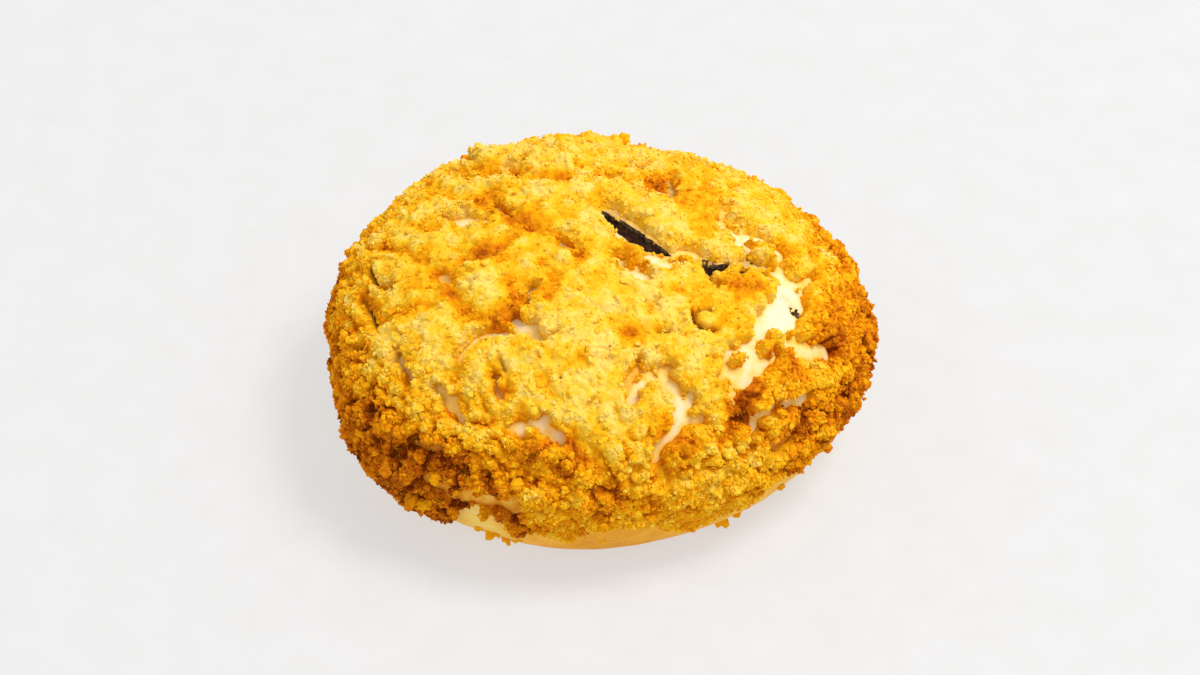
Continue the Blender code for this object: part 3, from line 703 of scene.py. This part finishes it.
CLUMPS = (  # spacing of the clumps, and their size on top and on the sides
    (3.4 * MM, 0.60 * MM, 0.75 * MM),
    (1.6 * MM, 0.38 * MM, 0.55 * MM),
    (0.9 * MM, 0.17 * MM, 0.40 * MM),
)
PINHOLES = 130
PINHOLE_DEPTH = 0.35 * MM
CRACK_SPACING = 3.6 * MM
CRACK_DEPTH = 0.5 * MM
CREVICE_SPACING = 3.4 * MM  # of the crevices between the lumps on the sides, dented and made browner with painted shade
CREVICE_WIDTH = 0.11
CREVICE_DEPTH = 1.1 * MM
SPLIT_THINNING = 3.0 * MM  # the layer is thinner over this distance from a split
SPLIT_THICKNESS = 0.4
CRACK_SHARE = 0.85
SHADE_OF_DEPTH = 0.75
# Cracks in the plates, dented and darkened with painted shade: width and depth in mm, then points along them
DARK_CRACKS = (
    (0.5, 0.8, ((-67.6, 49), (-64.6, 44.8), (-63.4, 40.6), (-61.5, 37.1))),
    (0.45, 0.9, ((-42.7, 58.7), (-38.4, 57.2))),
    (0.5, 0.9, ((-62.8, 58), (-58.5, 57.1))),
    (0.6, 1.2, ((176.9, 36.1), (-176.4, 38))),
    (0.7, 1.6, ((-15.3, 58.3), (-11, 57.8))),
    (0.6, 1.4, ((-11.1, 54.1), (-11.4, 52.9))),
    (0.45, 1.2, ((-16.9, 60.6), (-16.8, 59.8))),
    (0.5, 1.4, ((-21.8, 64.3), (-25, 63.1))),
    (0.4, 0.8, ((105.3, 76.8), (95.5, 78.7), (84.4, 79.6))),
    (0.5, 0.8, ((-108.1, 59.8), (-105.7, 60.8))),
    (0.5, 0.6, ((-91.9, 42.3), (-90.3, 44))),
    (0.5, 0.8, ((-126.6, 43.2), (-124.9, 42.8))),
    (0.5, 0.7, ((-110.4, 54.2), (-108.8, 53.1))),
    (0.6, 1.2, ((-173.9, 32.9), (-168.2, 34.3), (-162.5, 35))),
    (0.6, 0.8, ((-121.7, 50.7), (-118.3, 48.6))),
    (0.5, 1.2, ((-44.3, 59.2), (-47.1, 56.5), (-46.4, 54.3), (-43.2, 52.8))),
    (0.45, 0.6, ((-21.8, 71.9), (-26.2, 69.6))),
)
# Places that stand up or lie low: bearing, slope, reach and rise in mm
BUMPS = (
    (-43, 32, 5, 0.8), (-103, 31, 3, 0.9), (-68, 28, 3, 0.9), (-20, 56, 3.5, 0.5), (-150, 62, 5, 0.4),
    (-115, 52, 6, 0.3), (84, 45, 1.5, 1.2), (-52, 51, 4, 0.4), (34, 78, 4, 0.3), (-147, 41, 5, 0.3),
    (172, 58, 3.5, -0.7), (137, 56, 3, -0.6), (62, 38, 14, -0.5), (30, 33, 10, -0.4), (168, 28, 8, 0.6),
    (-5, 12, 7, 0.5),
)
# Raised edges of plates: width and rise in mm, then points along them
RIDGES = (
    (2.4, 1.1, ((126, 37), (124, 46), (118, 50), (110, 56), (103, 61))),
    (1.6, 0.5, ((-44, 66), (-50, 66), (-60, 72), (-75, 75))),
    (1.6, 0.5, ((-75, 63), (-68, 61), (-58, 60))),
)
# Valleys between plates: width and depth in mm, then points along them
CREASES = (
    (1.4, 1.6, ((135, 40), (133, 48), (129, 55), (124, 60), (117, 65), (107, 67))),
    (1.5, 0.9, ((146, 44), (149, 53), (149, 59), (152, 64))),
    (1.5, 1.0, ((141, 58), (147, 64), (154, 68), (164, 72))),
    (1.5, 0.9, ((164, 72), (171, 76), (179, 80), (-157, 83), (-124, 83), (-110, 81))),
    (1.4, 0.7, ((172, 74), (-176, 72), (-171, 71))),
    (1.6, 0.9, ((170, 36), (177, 47), (-178, 51), (-170, 54), (-165, 54))),
    (1.2, 0.6, ((164, 46), (167, 50), (168, 54))),
    (1.8, 1.0, ((-170, 60), (-170, 64), (-170, 69), (-178, 71))),
    (1.8, 1.1, (
        (-170, 59), (-162, 57), (-152, 56), (-142, 56), (-134, 57), (-129, 60), (-132, 65), (-144, 69),
        (-160, 70),
    )),
    (1.5, 0.9, ((-140, 76), (-122, 73), (-116, 69), (-128, 69))),
    (1.4, 0.6, ((-144, 54), (-139, 56), (-132, 54))),
    (1.4, 1.5, ((-174, 34), (-168, 36), (-162, 36))),
    (1.4, 0.9, ((-164, 36), (-161, 41), (-157, 46), (-156, 50), (-154, 52))),
    (1.4, 0.8, ((94, 63), (82, 65), (73, 66))),
    (2, 1.0, ((61, 62), (53, 64), (46, 68))),
    (1.8, 0.9, ((43, 65), (25, 67), (16, 66), (12, 64))),
    (1.5, 0.8, ((42, 55), (31, 59), (20, 63))),
    (1.8, 0.9, ((5, 54), (5, 50), (6, 46))),
    (1.5, 0.7, ((4, 48), (-1, 46), (-5, 44))),
    (1.0, 0.9, ((-42, 66), (-42, 62))),
    (1.5, 0.8, ((-62, 69), (-60, 66), (-63, 63))),
    (2.2, 0.8, ((-83, 63), (-78, 60), (-69, 58), (-63, 58))),
    (0.8, 1.2, ((-45, 59), (-48, 57), (-48, 55), (-44, 53))),
    (1.5, 1.0, ((-131, 42), (-128, 39), (-126, 36))),
    (1.5, 1.0, ((-120, 47), (-116, 45), (-115, 41))),
    (1.2, 0.9, ((-106, 49), (-104, 46), (-101, 45))),
    (1.6, 1.0, ((-119, 34), (-112, 35), (-109, 38))),
    (1.6, 0.9, ((-128, 34), (-123, 36), (-120, 38))),
    (1.6, 1.6, ((-128, 16), (-124, 19), (-120, 20))),
    (1.6, 1.4, ((-136, 14), (-132, 21))),
    (1.6, 1.6, ((-110, 26), (-107, 25), (-104, 22))),
    (1.4, 1.4, ((-100, 25), (-97, 23))),
    (1.4, 0.9, ((-115, 19), (-113, 14))),
    (1.8, 1.0, ((-96, 33), (-93, 30), (-91, 26), (-90, 22))),
    (1.4, 0.9, ((-74, 52), (-76, 49), (-79, 47))),
    (1.4, 0.9, ((-72, 31), (-74, 31), (-75, 27), (-76, 18))),
    (1.5, 0.8, ((-91, 27), (-86, 18), (-84, 13))),
    (1.5, 0.8, ((-95, 18), (-88, 17))),
    (1.8, 0.8, ((-52, 32), (-55, 29), (-58, 24))),
    (0.9, 1.2, ((-16, 75), (-16, 70), (-15, 67))),
    (1.5, 0.8, ((-160, 77), (-138, 77))),
)
# Patches that baked darker or stayed paler: bearing, slope, reach in mm and how much
BAKED_SPOTS = (
    (160, 75, 4, 0.35), (134, 83, 1.6, 0.35), (150, 61, 1.6, 0.4), (-170, 66, 3.6, 0.35),
    (-26, 57, 2.9, 0.35), (-20, 54, 2.9, 0.35), (-46, 36, 3.1, 0.4), (-34, 36, 3.1, 0.35),
    (-51, 27, 3.1, 0.4), (-74, 59, 2.5, 0.35), (-94, 54, 1.6, 0.3), (-158, 55, 2.2, 0.3),
    (-130, 63, 2.2, 0.35), (-130, 59, 1.8, 0.4), (108, 66, 1.5, 0.3), (55, 65, 1.6, 0.18),
    (-36, 81, 2.5, 0.35), (-40, 76, 1.8, 0.3), (-103, 31, 3.6, 0.5), (-68, 29, 3.6, 0.35),
    (-72, 36, 1.8, 0.25), (-33, 43, 2.2, 0.3), (-17, 28, 2.9, 0.4), (-21, 11, 2.5, 0.35),
    (-4, 36, 4, 0.1),
    (-90, 7, 2.9, 0.35), (-42, 16, 1.8, 0.4), (-37, 17, 2.5, 0.4), (-40, -2, 1.5, 0.4),
    (-66, 6, 4.5, 0.25), (-78, 7, 3.6, 0.3), (-66, 59, 5.5, -0.15), (-92, 47, 6.4, -0.15),
    (-150, 63, 4, -0.2), (-52, 51, 3.6, -0.15), (26, 77, 4.5, -0.1), (-104, 61, 3.3, -0.15),
    (-147, 48, 3.6, -0.1), (14, 51, 4.5, -0.1), (116, 48, 5.5, -0.1), (111, 56, 4, -0.1),
    (14, 75, 5, -0.2), (100, 84, 3, -0.15), (-92, 61, 4.5, -0.12), (32, 52, 5, 0.12),
    (53, 64, 4, 0.1), (29, 64, 3, 0.12), (-70, 66, 2.5, 0.15), (-60, 15, 5, -0.12),
)
# Sides whose crust is coloured browner or paler: bearing and reach in degrees
LEFT_FRONT = (-131, 29)
FRONT_RIGHT = (-70, 26)
LEFT_RIM = (178, 32)
RIGHT_RIM = (2, 40)
# The crust's tone, from baking and from painted light and shade: 0 is pale yellow, 1 dark brown
CRUST_TONE = 0.20
PALEST_TONE = 0.12
LOWER_TONE = 0.33  # what is added towards the lower edge, in the valleys (partly painted shade) and in the dips (painted shade)
VALLEY_TONE_AND_SHADE = 0.26
DIP_SHADE = 0.24
REAR = np.array((0.0, 0.72, -0.69))  # beyond this side the valleys are spread by rule, not one by one


def clumps(points, spacing):
    """Rounded lumps with sharp creases between them: about 0.6 on a lump and -0.4 in a crease."""
    return np.minimum(2.2 * np.abs(noise_at(points, spacing)), 1.3) - 0.4


def plate_edges(points):
    """0 in the valleys between plates that are spread by rule, 1 on the plates."""
    cells = [noise.voronoi(p)[0] for p in (points / PLATE_SPACING).tolist()]
    return smooth_step(0.0, GROOVE_WIDTH, np.array([c[1] - c[0] for c in cells]))


crust_ball = ball_mesh(CRUST_DIVISIONS)
crust_directions = unit(places_of(crust_ball) + (0.0, 0.0, FINER_ON_TOP))
crust_skin = roll_points(crust_directions)
move_points(crust_ball, crust_skin)
bmesh.ops.recalc_face_normals(crust_ball, faces=crust_ball.faces[:])
crust_normals = normals_of(crust_ball)
crust_inside = depth_under_crumbs(crust_skin)
top_share = smooth_step(SIDE_HEIGHT, TOP_HEIGHT, crust_skin[:, 2])
rear_share = smooth_step(0.0, 0.2, crust_directions @ REAR)
valleys = np.zeros(len(crust_skin))
for width, depth, angles in CREASES:
    valleys = np.maximum(valleys, depth * MM * stripe(crust_skin, angles, width))
valleys += (rear_share * PLATE_RELIEF * (1.0 - plate_edges(crust_skin)) - valleys) * rear_share
lump_size = LUMPS_ON_SIDES + (LUMPS_ON_TOP - LUMPS_ON_SIDES) * top_share
thickness = CRUST_THICKNESS - valleys + lump_size * noise_at(crust_skin, LUMP_SPACING)
thickness += THICKER_ON_TOP * top_share - THINNER_ON_SIDES * (1.0 - top_share)
for turn, slope, reach, rise in BUMPS:
    thickness += rise * MM * patch(crust_skin, skin_points(((turn, slope),)), reach)
for width, rise, angles in RIDGES:
    thickness += rise * MM * stripe(crust_skin, angles, width)
crumbly = np.zeros(len(crust_skin))
for spacing, on_top, on_sides in CLUMPS:
    crumbly += (on_sides + (on_top - on_sides) * top_share) * clumps(crust_skin, spacing)
thickness += crumbly
draw = np.random.default_rng(5)
plates = top_share * (crust_inside > 1.0 * MM) * smooth_step(-0.1, 0.3, noise_at(crust_skin, 9.0 * MM))
pinholes = np.zeros(len(crust_skin))
pinholes[draw.choice(len(plates), size=PINHOLES, replace=False, p=plates / plates.sum())] = 1.0
cracks = smooth_step(0.06, 0.0, np.abs(noise_at(crust_skin, CRACK_SPACING)))
cracks *= smooth_step(0.05, 0.2, noise_at(crust_skin, 2.5 * CRACK_SPACING)) * (top_share > 0.0)
thickness -= PINHOLE_DEPTH * pinholes + CRACK_DEPTH * cracks
# Painted shade in the pinholes and hair cracks, standing in for depth that the mesh lacks
hollow_shade = np.maximum(0.5 * pinholes, 0.35 * cracks)
crevices = smooth_step(CREVICE_WIDTH, 0.3 * CREVICE_WIDTH, np.abs(noise_at(crust_skin, CREVICE_SPACING)))
crevices *= smooth_step(-0.1, 0.15, noise_at(crust_skin, 2.2 * CREVICE_SPACING)) * (1.0 - top_share)
thickness -= CREVICE_DEPTH * crevices
for width, depth, angles in DARK_CRACKS:
    crack = stripe(crust_skin, angles, CRACK_SHARE * width)
    thickness -= depth * MM * crack
    hollow_shade = np.maximum(hollow_shade, min(1.0, depth * SHADE_OF_DEPTH) * crack)
beside_splits = distance_to_splits(crust_skin)
thickness *= SPLIT_THICKNESS + (1.0 - SPLIT_THICKNESS) * smooth_step(0.0, SPLIT_THINNING, beside_splits)
full = smooth_step(LOWER_EDGE, LOWER_EDGE + LOWER_EDGE_THINNING, crust_skin[:, 2])
thickness *= LOWER_EDGE_THICKNESS + (1.0 - LOWER_EDGE_THICKNESS) * full
covered = smooth_step(-0.3 * EDGE_SLOPE, 0.7 * EDGE_SLOPE, crust_inside)
thinnest = THINNEST_CRUST * (1.0 - 0.6 * smooth_step(0.4, 1.0, hollow_shade))
crust_height = covered * (np.maximum(thickness, thinnest) + CRUST_SINK) - CRUST_SINK
crust_top = crust_skin + crust_height[:, None] * crust_normals
move_points(crust_ball, crust_top)
top_normals = normals_of(crust_ball)

# The tone of each place of the crust: how far it baked, with painted shade in valleys, crevices and dips and
# painted light on the tops of lumps
low_share = 1.0 - risen(crust_skin, 14, 33)
left_front = facing(crust_skin, *LEFT_FRONT)
front_right = facing(crust_skin, *FRONT_RIGHT)
left_rim = np.exp(-((np.abs(bearings_of(crust_skin)) - LEFT_RIM[0]) / LEFT_RIM[1]) ** 2)
right_rim = facing(crust_skin, *RIGHT_RIM)
crust_tone_and_shade = CRUST_TONE + (LOWER_TONE - 0.34 * front_right) * low_share
crust_tone_and_shade += 0.27 * (left_front + left_rim) * (1.0 - risen(crust_skin, 22, 32))
crust_tone_and_shade += 0.28 * right_rim * (1.0 - risen(crust_skin, 27, 38))
# Partly painted shade: the valleys between the plates are browner
crust_tone_and_shade += VALLEY_TONE_AND_SHADE * np.minimum(1.0, valleys / (0.9 * MM))
# Painted shade: browner in the crevices on the sides
crust_tone_and_shade += (0.15 + 0.22 * left_front - 0.10 * front_right + 0.25 * right_rim) * crevices
for turn, slope, reach, amount in BAKED_SPOTS:
    crust_tone_and_shade += amount * patch(crust_skin, skin_points(((turn, slope),)), reach)
crust_tone_and_shade += 0.18 * noise_at(crust_skin, 7.0 * MM)
crust_tone_and_shade += (0.19 - 0.09 * front_right) * noise_at(crust_skin, 2.9 * MM)
# Painted light and shade: paler on the tops of the lumps, browner in the dips between them on the sides
crust_tone_and_shade -= (0.05 + 0.06 * top_share) * np.minimum(crumbly, 0.6 * MM) / (0.5 * MM)
crust_tone_and_shade += DIP_SHADE * (1.0 - top_share) * smooth_step(0.3 * MM, -0.6 * MM, crumbly)
crust_tone_and_shade = np.maximum(crust_tone_and_shade, PALEST_TONE + 0.26 * low_share)


def crumb_finish(name, relief):
    finish = Finish(name, 0.9, 0.04)
    # On the crust this tone holds painted shade in valleys, crevices and dips and painted light on lump tops
    amount = finish.value("baked")
    # Each flake pressed into the layer is a little paler or browner than the next
    bent = finish.bent_place(0.8 * MM, 0.7 * MM)
    for spacing, spread in ((2.8 * MM, 0.06), (1.2 * MM, 0.06)):
        chance = finish.cells(spacing, output="Color", place=bent)
        amount = finish.math("ADD", amount, finish.between(chance, 0.1, 0.9, -spread, spread))
    for spacing, spread in ((3.2 * MM, 0.10), (0.5 * MM, 0.05)):
        patchy = finish.between(finish.grain(spacing, 2.0), 0.35, 0.65, -spread, spread)
        amount = finish.math("ADD", amount, patchy)
    colour = finish.ramp(amount, (
        (0.0, (0.88, 0.63, 0.14)),
        (0.2, (0.88, 0.54, 0.03)),
        (0.38, (0.86, 0.425, 0.006)),
        (0.55, (0.79, 0.3, 0.003)),
        (0.72, (0.62, 0.175, 0.003)),
        (0.88, (0.38, 0.078, 0.002)),
        (1.0, (0.17, 0.026, 0.001)),
    ))
    # Thin broken lines between the flakes, painted shade in the grooves there
    rim = finish.cells(2.4 * MM, "DISTANCE_TO_EDGE", place=bent)
    broken = finish.between(finish.grain(2.3 * MM, 2.0), 0.46, 0.58)
    line = finish.math("MULTIPLY", finish.between(rim, 0.01, 0.06, 0.4, 0.0), broken)
    colour = finish.blend(line, colour, (0.66, 0.30, 0.004))
    # Painted shade darkens the pinholes and cracks
    hollow_shade = finish.value("hollow_shade")
    shade = finish.ramp(hollow_shade, ((0.45, (0.58, 0.25, 0.006)), (0.9, (0.07, 0.026, 0.008))))
    finish.paint(finish.blend(finish.between(hollow_shade, 0.0, 0.7), colour, shade))
    grooves = finish.between(rim, 0.0, 0.15, -0.3, 0.0)
    lumps = finish.math("MULTIPLY", finish.cells(0.8 * MM, place=bent), -0.35)
    finish.relief(finish.math("ADD", finish.grain(1.0 * MM), grooves, lumps), relief, 0.8)
    finish.glow(0.14, 0.8 * MM, (1.0, 0.45, 0.08))
    return finish.material


crust = add_piece("crumb_plates", crust_ball, crumb_finish("crumb_crust", 0.35 * MM))
combine(crust, "DIFFERENCE", add_piece("roll_room", roll_shape(24, CRUST_UNDERSIDE)))
finder = kdtree.KDTree(len(crust_top))
for index, point in enumerate(crust_top.tolist()):
    finder.insert(point, index)
finder.balance()
nearest = [finder.find(v.co)[1] for v in crust.data.vertices]
set_values(crust, "baked", crust_tone_and_shade[nearest])
set_values(crust, "hollow_shade", hollow_shade[nearest])
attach(crust, "root")
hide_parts("crumb_crust")

# The loose crumbs
# The same butter crumbs as separate grains, up to three millimetres across, baked onto the layer. Fine ones
# lie on the plates, and larger and browner ones on the sides and along the lower edge.
CRUMB_ROUGHNESS = 0.42
CRUMB_KINDS = (
    # name, number, its facets, radii in mm, share of the radius sunk, and where
    ("fine_crumbs_on_plates", 8000, 8, (0.15, 0.42), (0.5, 0.95), "top"),
    ("fine_crumbs_on_sides", 24000, 8, (0.2, 0.46), (-0.3, 0.5), "sides"),
    ("small_crumbs_on_sides", 9500, 20, (0.35, 0.75), (0.0, 0.7), "sides"),
    ("large_crumbs_on_sides", 1300, 80, (0.5, 1.1), (0.3, 0.8), "sides"),
    ("crumbs_along_the_gaps", 9500, 20, (0.15, 0.5), (0.2, 0.9), "edges"),
)
# Flakes that stand up from the layer: bearing, slope, height above the skin and radius in mm, and how baked
STANDING_FLAKES = (
    (86, 50, 2.4, 1.7, 0.2), (83, 48, 3.2, 1.5, 0.3), (80, 47, 4, 1.2, 0.4), (90, 50, 2.6, 1.5, 0.25),
    (100, 50, 2.8, 1.6, 0.3), (142, 43, 2.6, 1.2, 0.5), (-6, 20, 2.4, 1.4, 0.6), (-8, 16, 2.8, 1.1, 0.7),
    (-5, 13, 2.6, 1, 0.75), (4, 30, 2.2, 1.3, 0.45), (-14, 6, 2.2, 1.3, 0.7), (-18, 2, 2, 1.2, 0.75),
    (-142, 0, 2.2, 1.2, 0.7), (-131, -4, 2, 1.5, 0.6), (-128, -3, 2.2, 1.3, 0.55), (-150, 6, 2.2, 1.3, 0.75),
    (178, 26, 2, 1.3, 0.6),
)
# Crumbs on the bare foot: bearing in degrees, height and radius in mm
FOOT_CRUMBS = (
    (-55, 4, 1.6), (-116, 6.4, 1.2), (-112.5, 4.8, 1), (72, 5, 1.5), (-52, 5.6, 0.8), (-118.5, 7.4, 0.8),
    (-114, 6.8, 0.7), (-110, 5.2, 0.6), (-108, 7, 0.6), (-88, 9, 0.5), (-40, 8, 0.9), (-34, 9, 0.7),
)
FOOT_CRUMB_TONE = 0.45


def turned(count, draw):
    """Random turns, one for each crumb."""
    w, x, y, z = unit(draw.normal(size=(count, 4))).T
    rows = (
        (1 - 2 * (y * y + z * z), 2 * (x * y - w * z), 2 * (x * z + w * y)),
        (2 * (x * y + w * z), 1 - 2 * (x * x + z * z), 2 * (y * z - w * x)),
        (2 * (x * z - w * y), 2 * (y * z + w * x), 1 - 2 * (x * x + y * y)),
    )
    return np.array(rows).transpose(2, 0, 1)


def crumb_heap(name, centres, radii, baked, facets, draw):
    """Many rough crumbs as one mesh."""
    ball = bmesh.new()
    if facets == 8:
        bmesh.ops.create_uvsphere(ball, u_segments=4, v_segments=2, radius=1.0)
    else:
        bmesh.ops.create_icosphere(ball, subdivisions=1 if facets == 20 else 2, radius=1.0)
    corners = places_of(ball)
    ball.verts.index_update()
    triangles = np.array([[v.index for v in face.verts] for face in ball.faces])
    ball.free()
    count = len(centres)
    rough = 1.0 + CRUMB_ROUGHNESS * draw.uniform(-1.0, 1.0, (count, len(corners), 1))
    stretched = corners[None] * rough * draw.uniform(0.75, 1.15, (count, 1, 3)) * radii[:, None, None]
    placed = np.einsum("nij,nvj->nvi", turned(count, draw), stretched) + centres[:, None]
    faces = (triangles[None] + (np.arange(count) * len(corners))[:, None, None]).reshape(-1, 3)
    mesh = bpy.data.meshes.new(name)
    mesh.from_pydata(placed.reshape(-1, 3), [], faces)
    made = bpy.data.objects.new(name, mesh)
    bpy.context.scene.collection.objects.link(made)
    mesh.materials.append(crumb_material)
    set_values(made, "baked", np.repeat(baked, len(corners)))
    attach(made, "root")


def foot_points(bearing, height):
    """The points of the lower skin at bearings in degrees and heights in mm."""
    down = (WIDEST_HEIGHT - height * MM) / BELLY_DEPTH
    out = (1.0 - down**BELLY_FULLNESS) ** (1.0 / BELLY_FULLNESS)
    return roll_points(unit(around(out, np.radians(bearing), -down)))


crumb_material = crumb_finish("loose_crumbs", 0.1 * MM)
draw = np.random.default_rng(11)
on_crust = np.where(crust_inside > 0.2 * EDGE_SLOPE, 1.0, 0.0)
low_edge = risen(crust_skin, 2, 6)
away_from_split = smooth_step(0.2 * MM, 1.2 * MM, beside_splits)
clear_of_cracks = 1.0 - smooth_step(0.2, 0.5, hollow_shade)
granular = 1.0 - 0.6 * front_right
granular *= (0.2 + 0.8 * smooth_step(-0.4 * MM, 0.4 * MM, crumbly)) * (1.0 - 0.9 * crevices)
near_gaps = np.exp(-((crust_inside - 0.5 * MM) / (0.6 * MM)) ** 2)
weights = {
    "top": on_crust * risen(crust_skin, 16, 28) * away_from_split * clear_of_cracks,
    "sides": on_crust * (1.0 - 0.93 * risen(crust_skin, 20, 36)) * low_edge * granular,
    "edges": near_gaps * low_edge * (0.04 + 0.96 * away_from_split),
}
for name, number, facets, sizes, sunk, where in CRUMB_KINDS:
    chance = weights[where] / weights[where].sum()
    chosen = draw.choice(len(chance), size=number, replace=False, p=chance)
    radii = draw.uniform(*sizes, number) * MM
    stand = -draw.uniform(*sunk, number) * radii
    centres = crust_top[chosen] + top_normals[chosen] * stand[:, None]
    centres += draw.normal(scale=0.15 * MM, size=centres.shape)
    baked = crust_tone_and_shade[chosen] + draw.normal(scale=0.05 if where == "top" else 0.08, size=number)
    crumb_heap(name, centres, radii, baked, facets, draw)
flakes = np.array(STANDING_FLAKES)
raised = skin_points(flakes[:, :2])
raised += unit(raised - PASTE_CENTRE) * flakes[:, 2:3] * MM
crumb_heap("standing_flakes", raised, flakes[:, 3] * MM, flakes[:, 4], 80, draw)
bearing, height, radii = np.array(FOOT_CRUMBS).T
baked = np.full(len(radii), FOOT_CRUMB_TONE)
crumb_heap("crumbs_on_the_foot", foot_points(bearing, height), radii * MM, baked, 80, draw)

# The studio
# A pale floor, a soft key light from the upper right and a bright surround. The camera stands in front of the
# bun and looks down at it.
CAMERA_RISE = math.radians(44.0)
CAMERA_DISTANCE = 515.0 * MM
AIM = Vector((0.0, 0.0, 20.0)) * MM
LENS = 85.0  # in mm, on a sensor 36 mm wide
KEY_PLACE = (0.45, -0.02, 0.95)
KEY_SIZE = 0.4
KEY_POWER = 7.0
SURROUND_STRENGTH = 0.84
FLOOR_SIZE = 2.0
FLOOR_GLOW = 0.56
FLOOR_GAP = 0.05 * MM  # keeps the floor out of the plane of the roll's flat foot


def floor_finish():
    finish = Finish("pale_floor", 0.9, 0.2)
    stops = ((0.3, (0.225, 0.225, 0.225)), (0.7, (0.25, 0.25, 0.255)))
    finish.paint(finish.ramp(finish.grain(9.0 * MM, 6.0), stops))
    glow = {"Emission Color": (1.0, 0.995, 0.99, 1.0), "Emission Strength": FLOOR_GLOW}
    finish.fill(finish.shader, glow)
    return finish.material


sheet = bmesh.new()
bmesh.ops.create_grid(sheet, x_segments=1, y_segments=1, size=FLOOR_SIZE)
bmesh.ops.translate(sheet, verts=sheet.verts[:], vec=(0.0, 0.0, -FLOOR_GAP))
floor = add_piece("floor", sheet, floor_finish())

scene = bpy.context.scene
scene.view_settings.view_transform = "Standard"
world = bpy.data.worlds.new("surround")
world.use_nodes = True
surround = world.node_tree.nodes["Background"].inputs
surround["Color"].default_value = (1.0, 1.0, 1.0, 1.0)
surround["Strength"].default_value = SURROUND_STRENGTH
scene.world = world

key = bpy.data.lights.new("key_light", "AREA")
key.shape = "DISK"
key.size = KEY_SIZE
key.energy = KEY_POWER
key.color = (1.0, 0.985, 0.96)
key_stand = bpy.data.objects.new("key_light", key)
key_stand.location = KEY_PLACE
key_stand.rotation_euler = (AIM - key_stand.location).to_track_quat("-Z", "Y").to_euler()
scene.collection.objects.link(key_stand)

camera = bpy.data.cameras.new("camera")
camera.lens = LENS
camera.sensor_width = 36.0
camera.shift_x = 0.0049
camera.shift_y = -0.0071
camera_stand = bpy.data.objects.new("camera", camera)
back = Vector((0.0, -math.cos(CAMERA_RISE), math.sin(CAMERA_RISE)))
camera_stand.location = AIM + CAMERA_DISTANCE * back
camera_stand.rotation_euler = (-back).to_track_quat("-Z", "Y").to_euler()
scene.collection.objects.link(camera_stand)
scene.camera = camera_stand
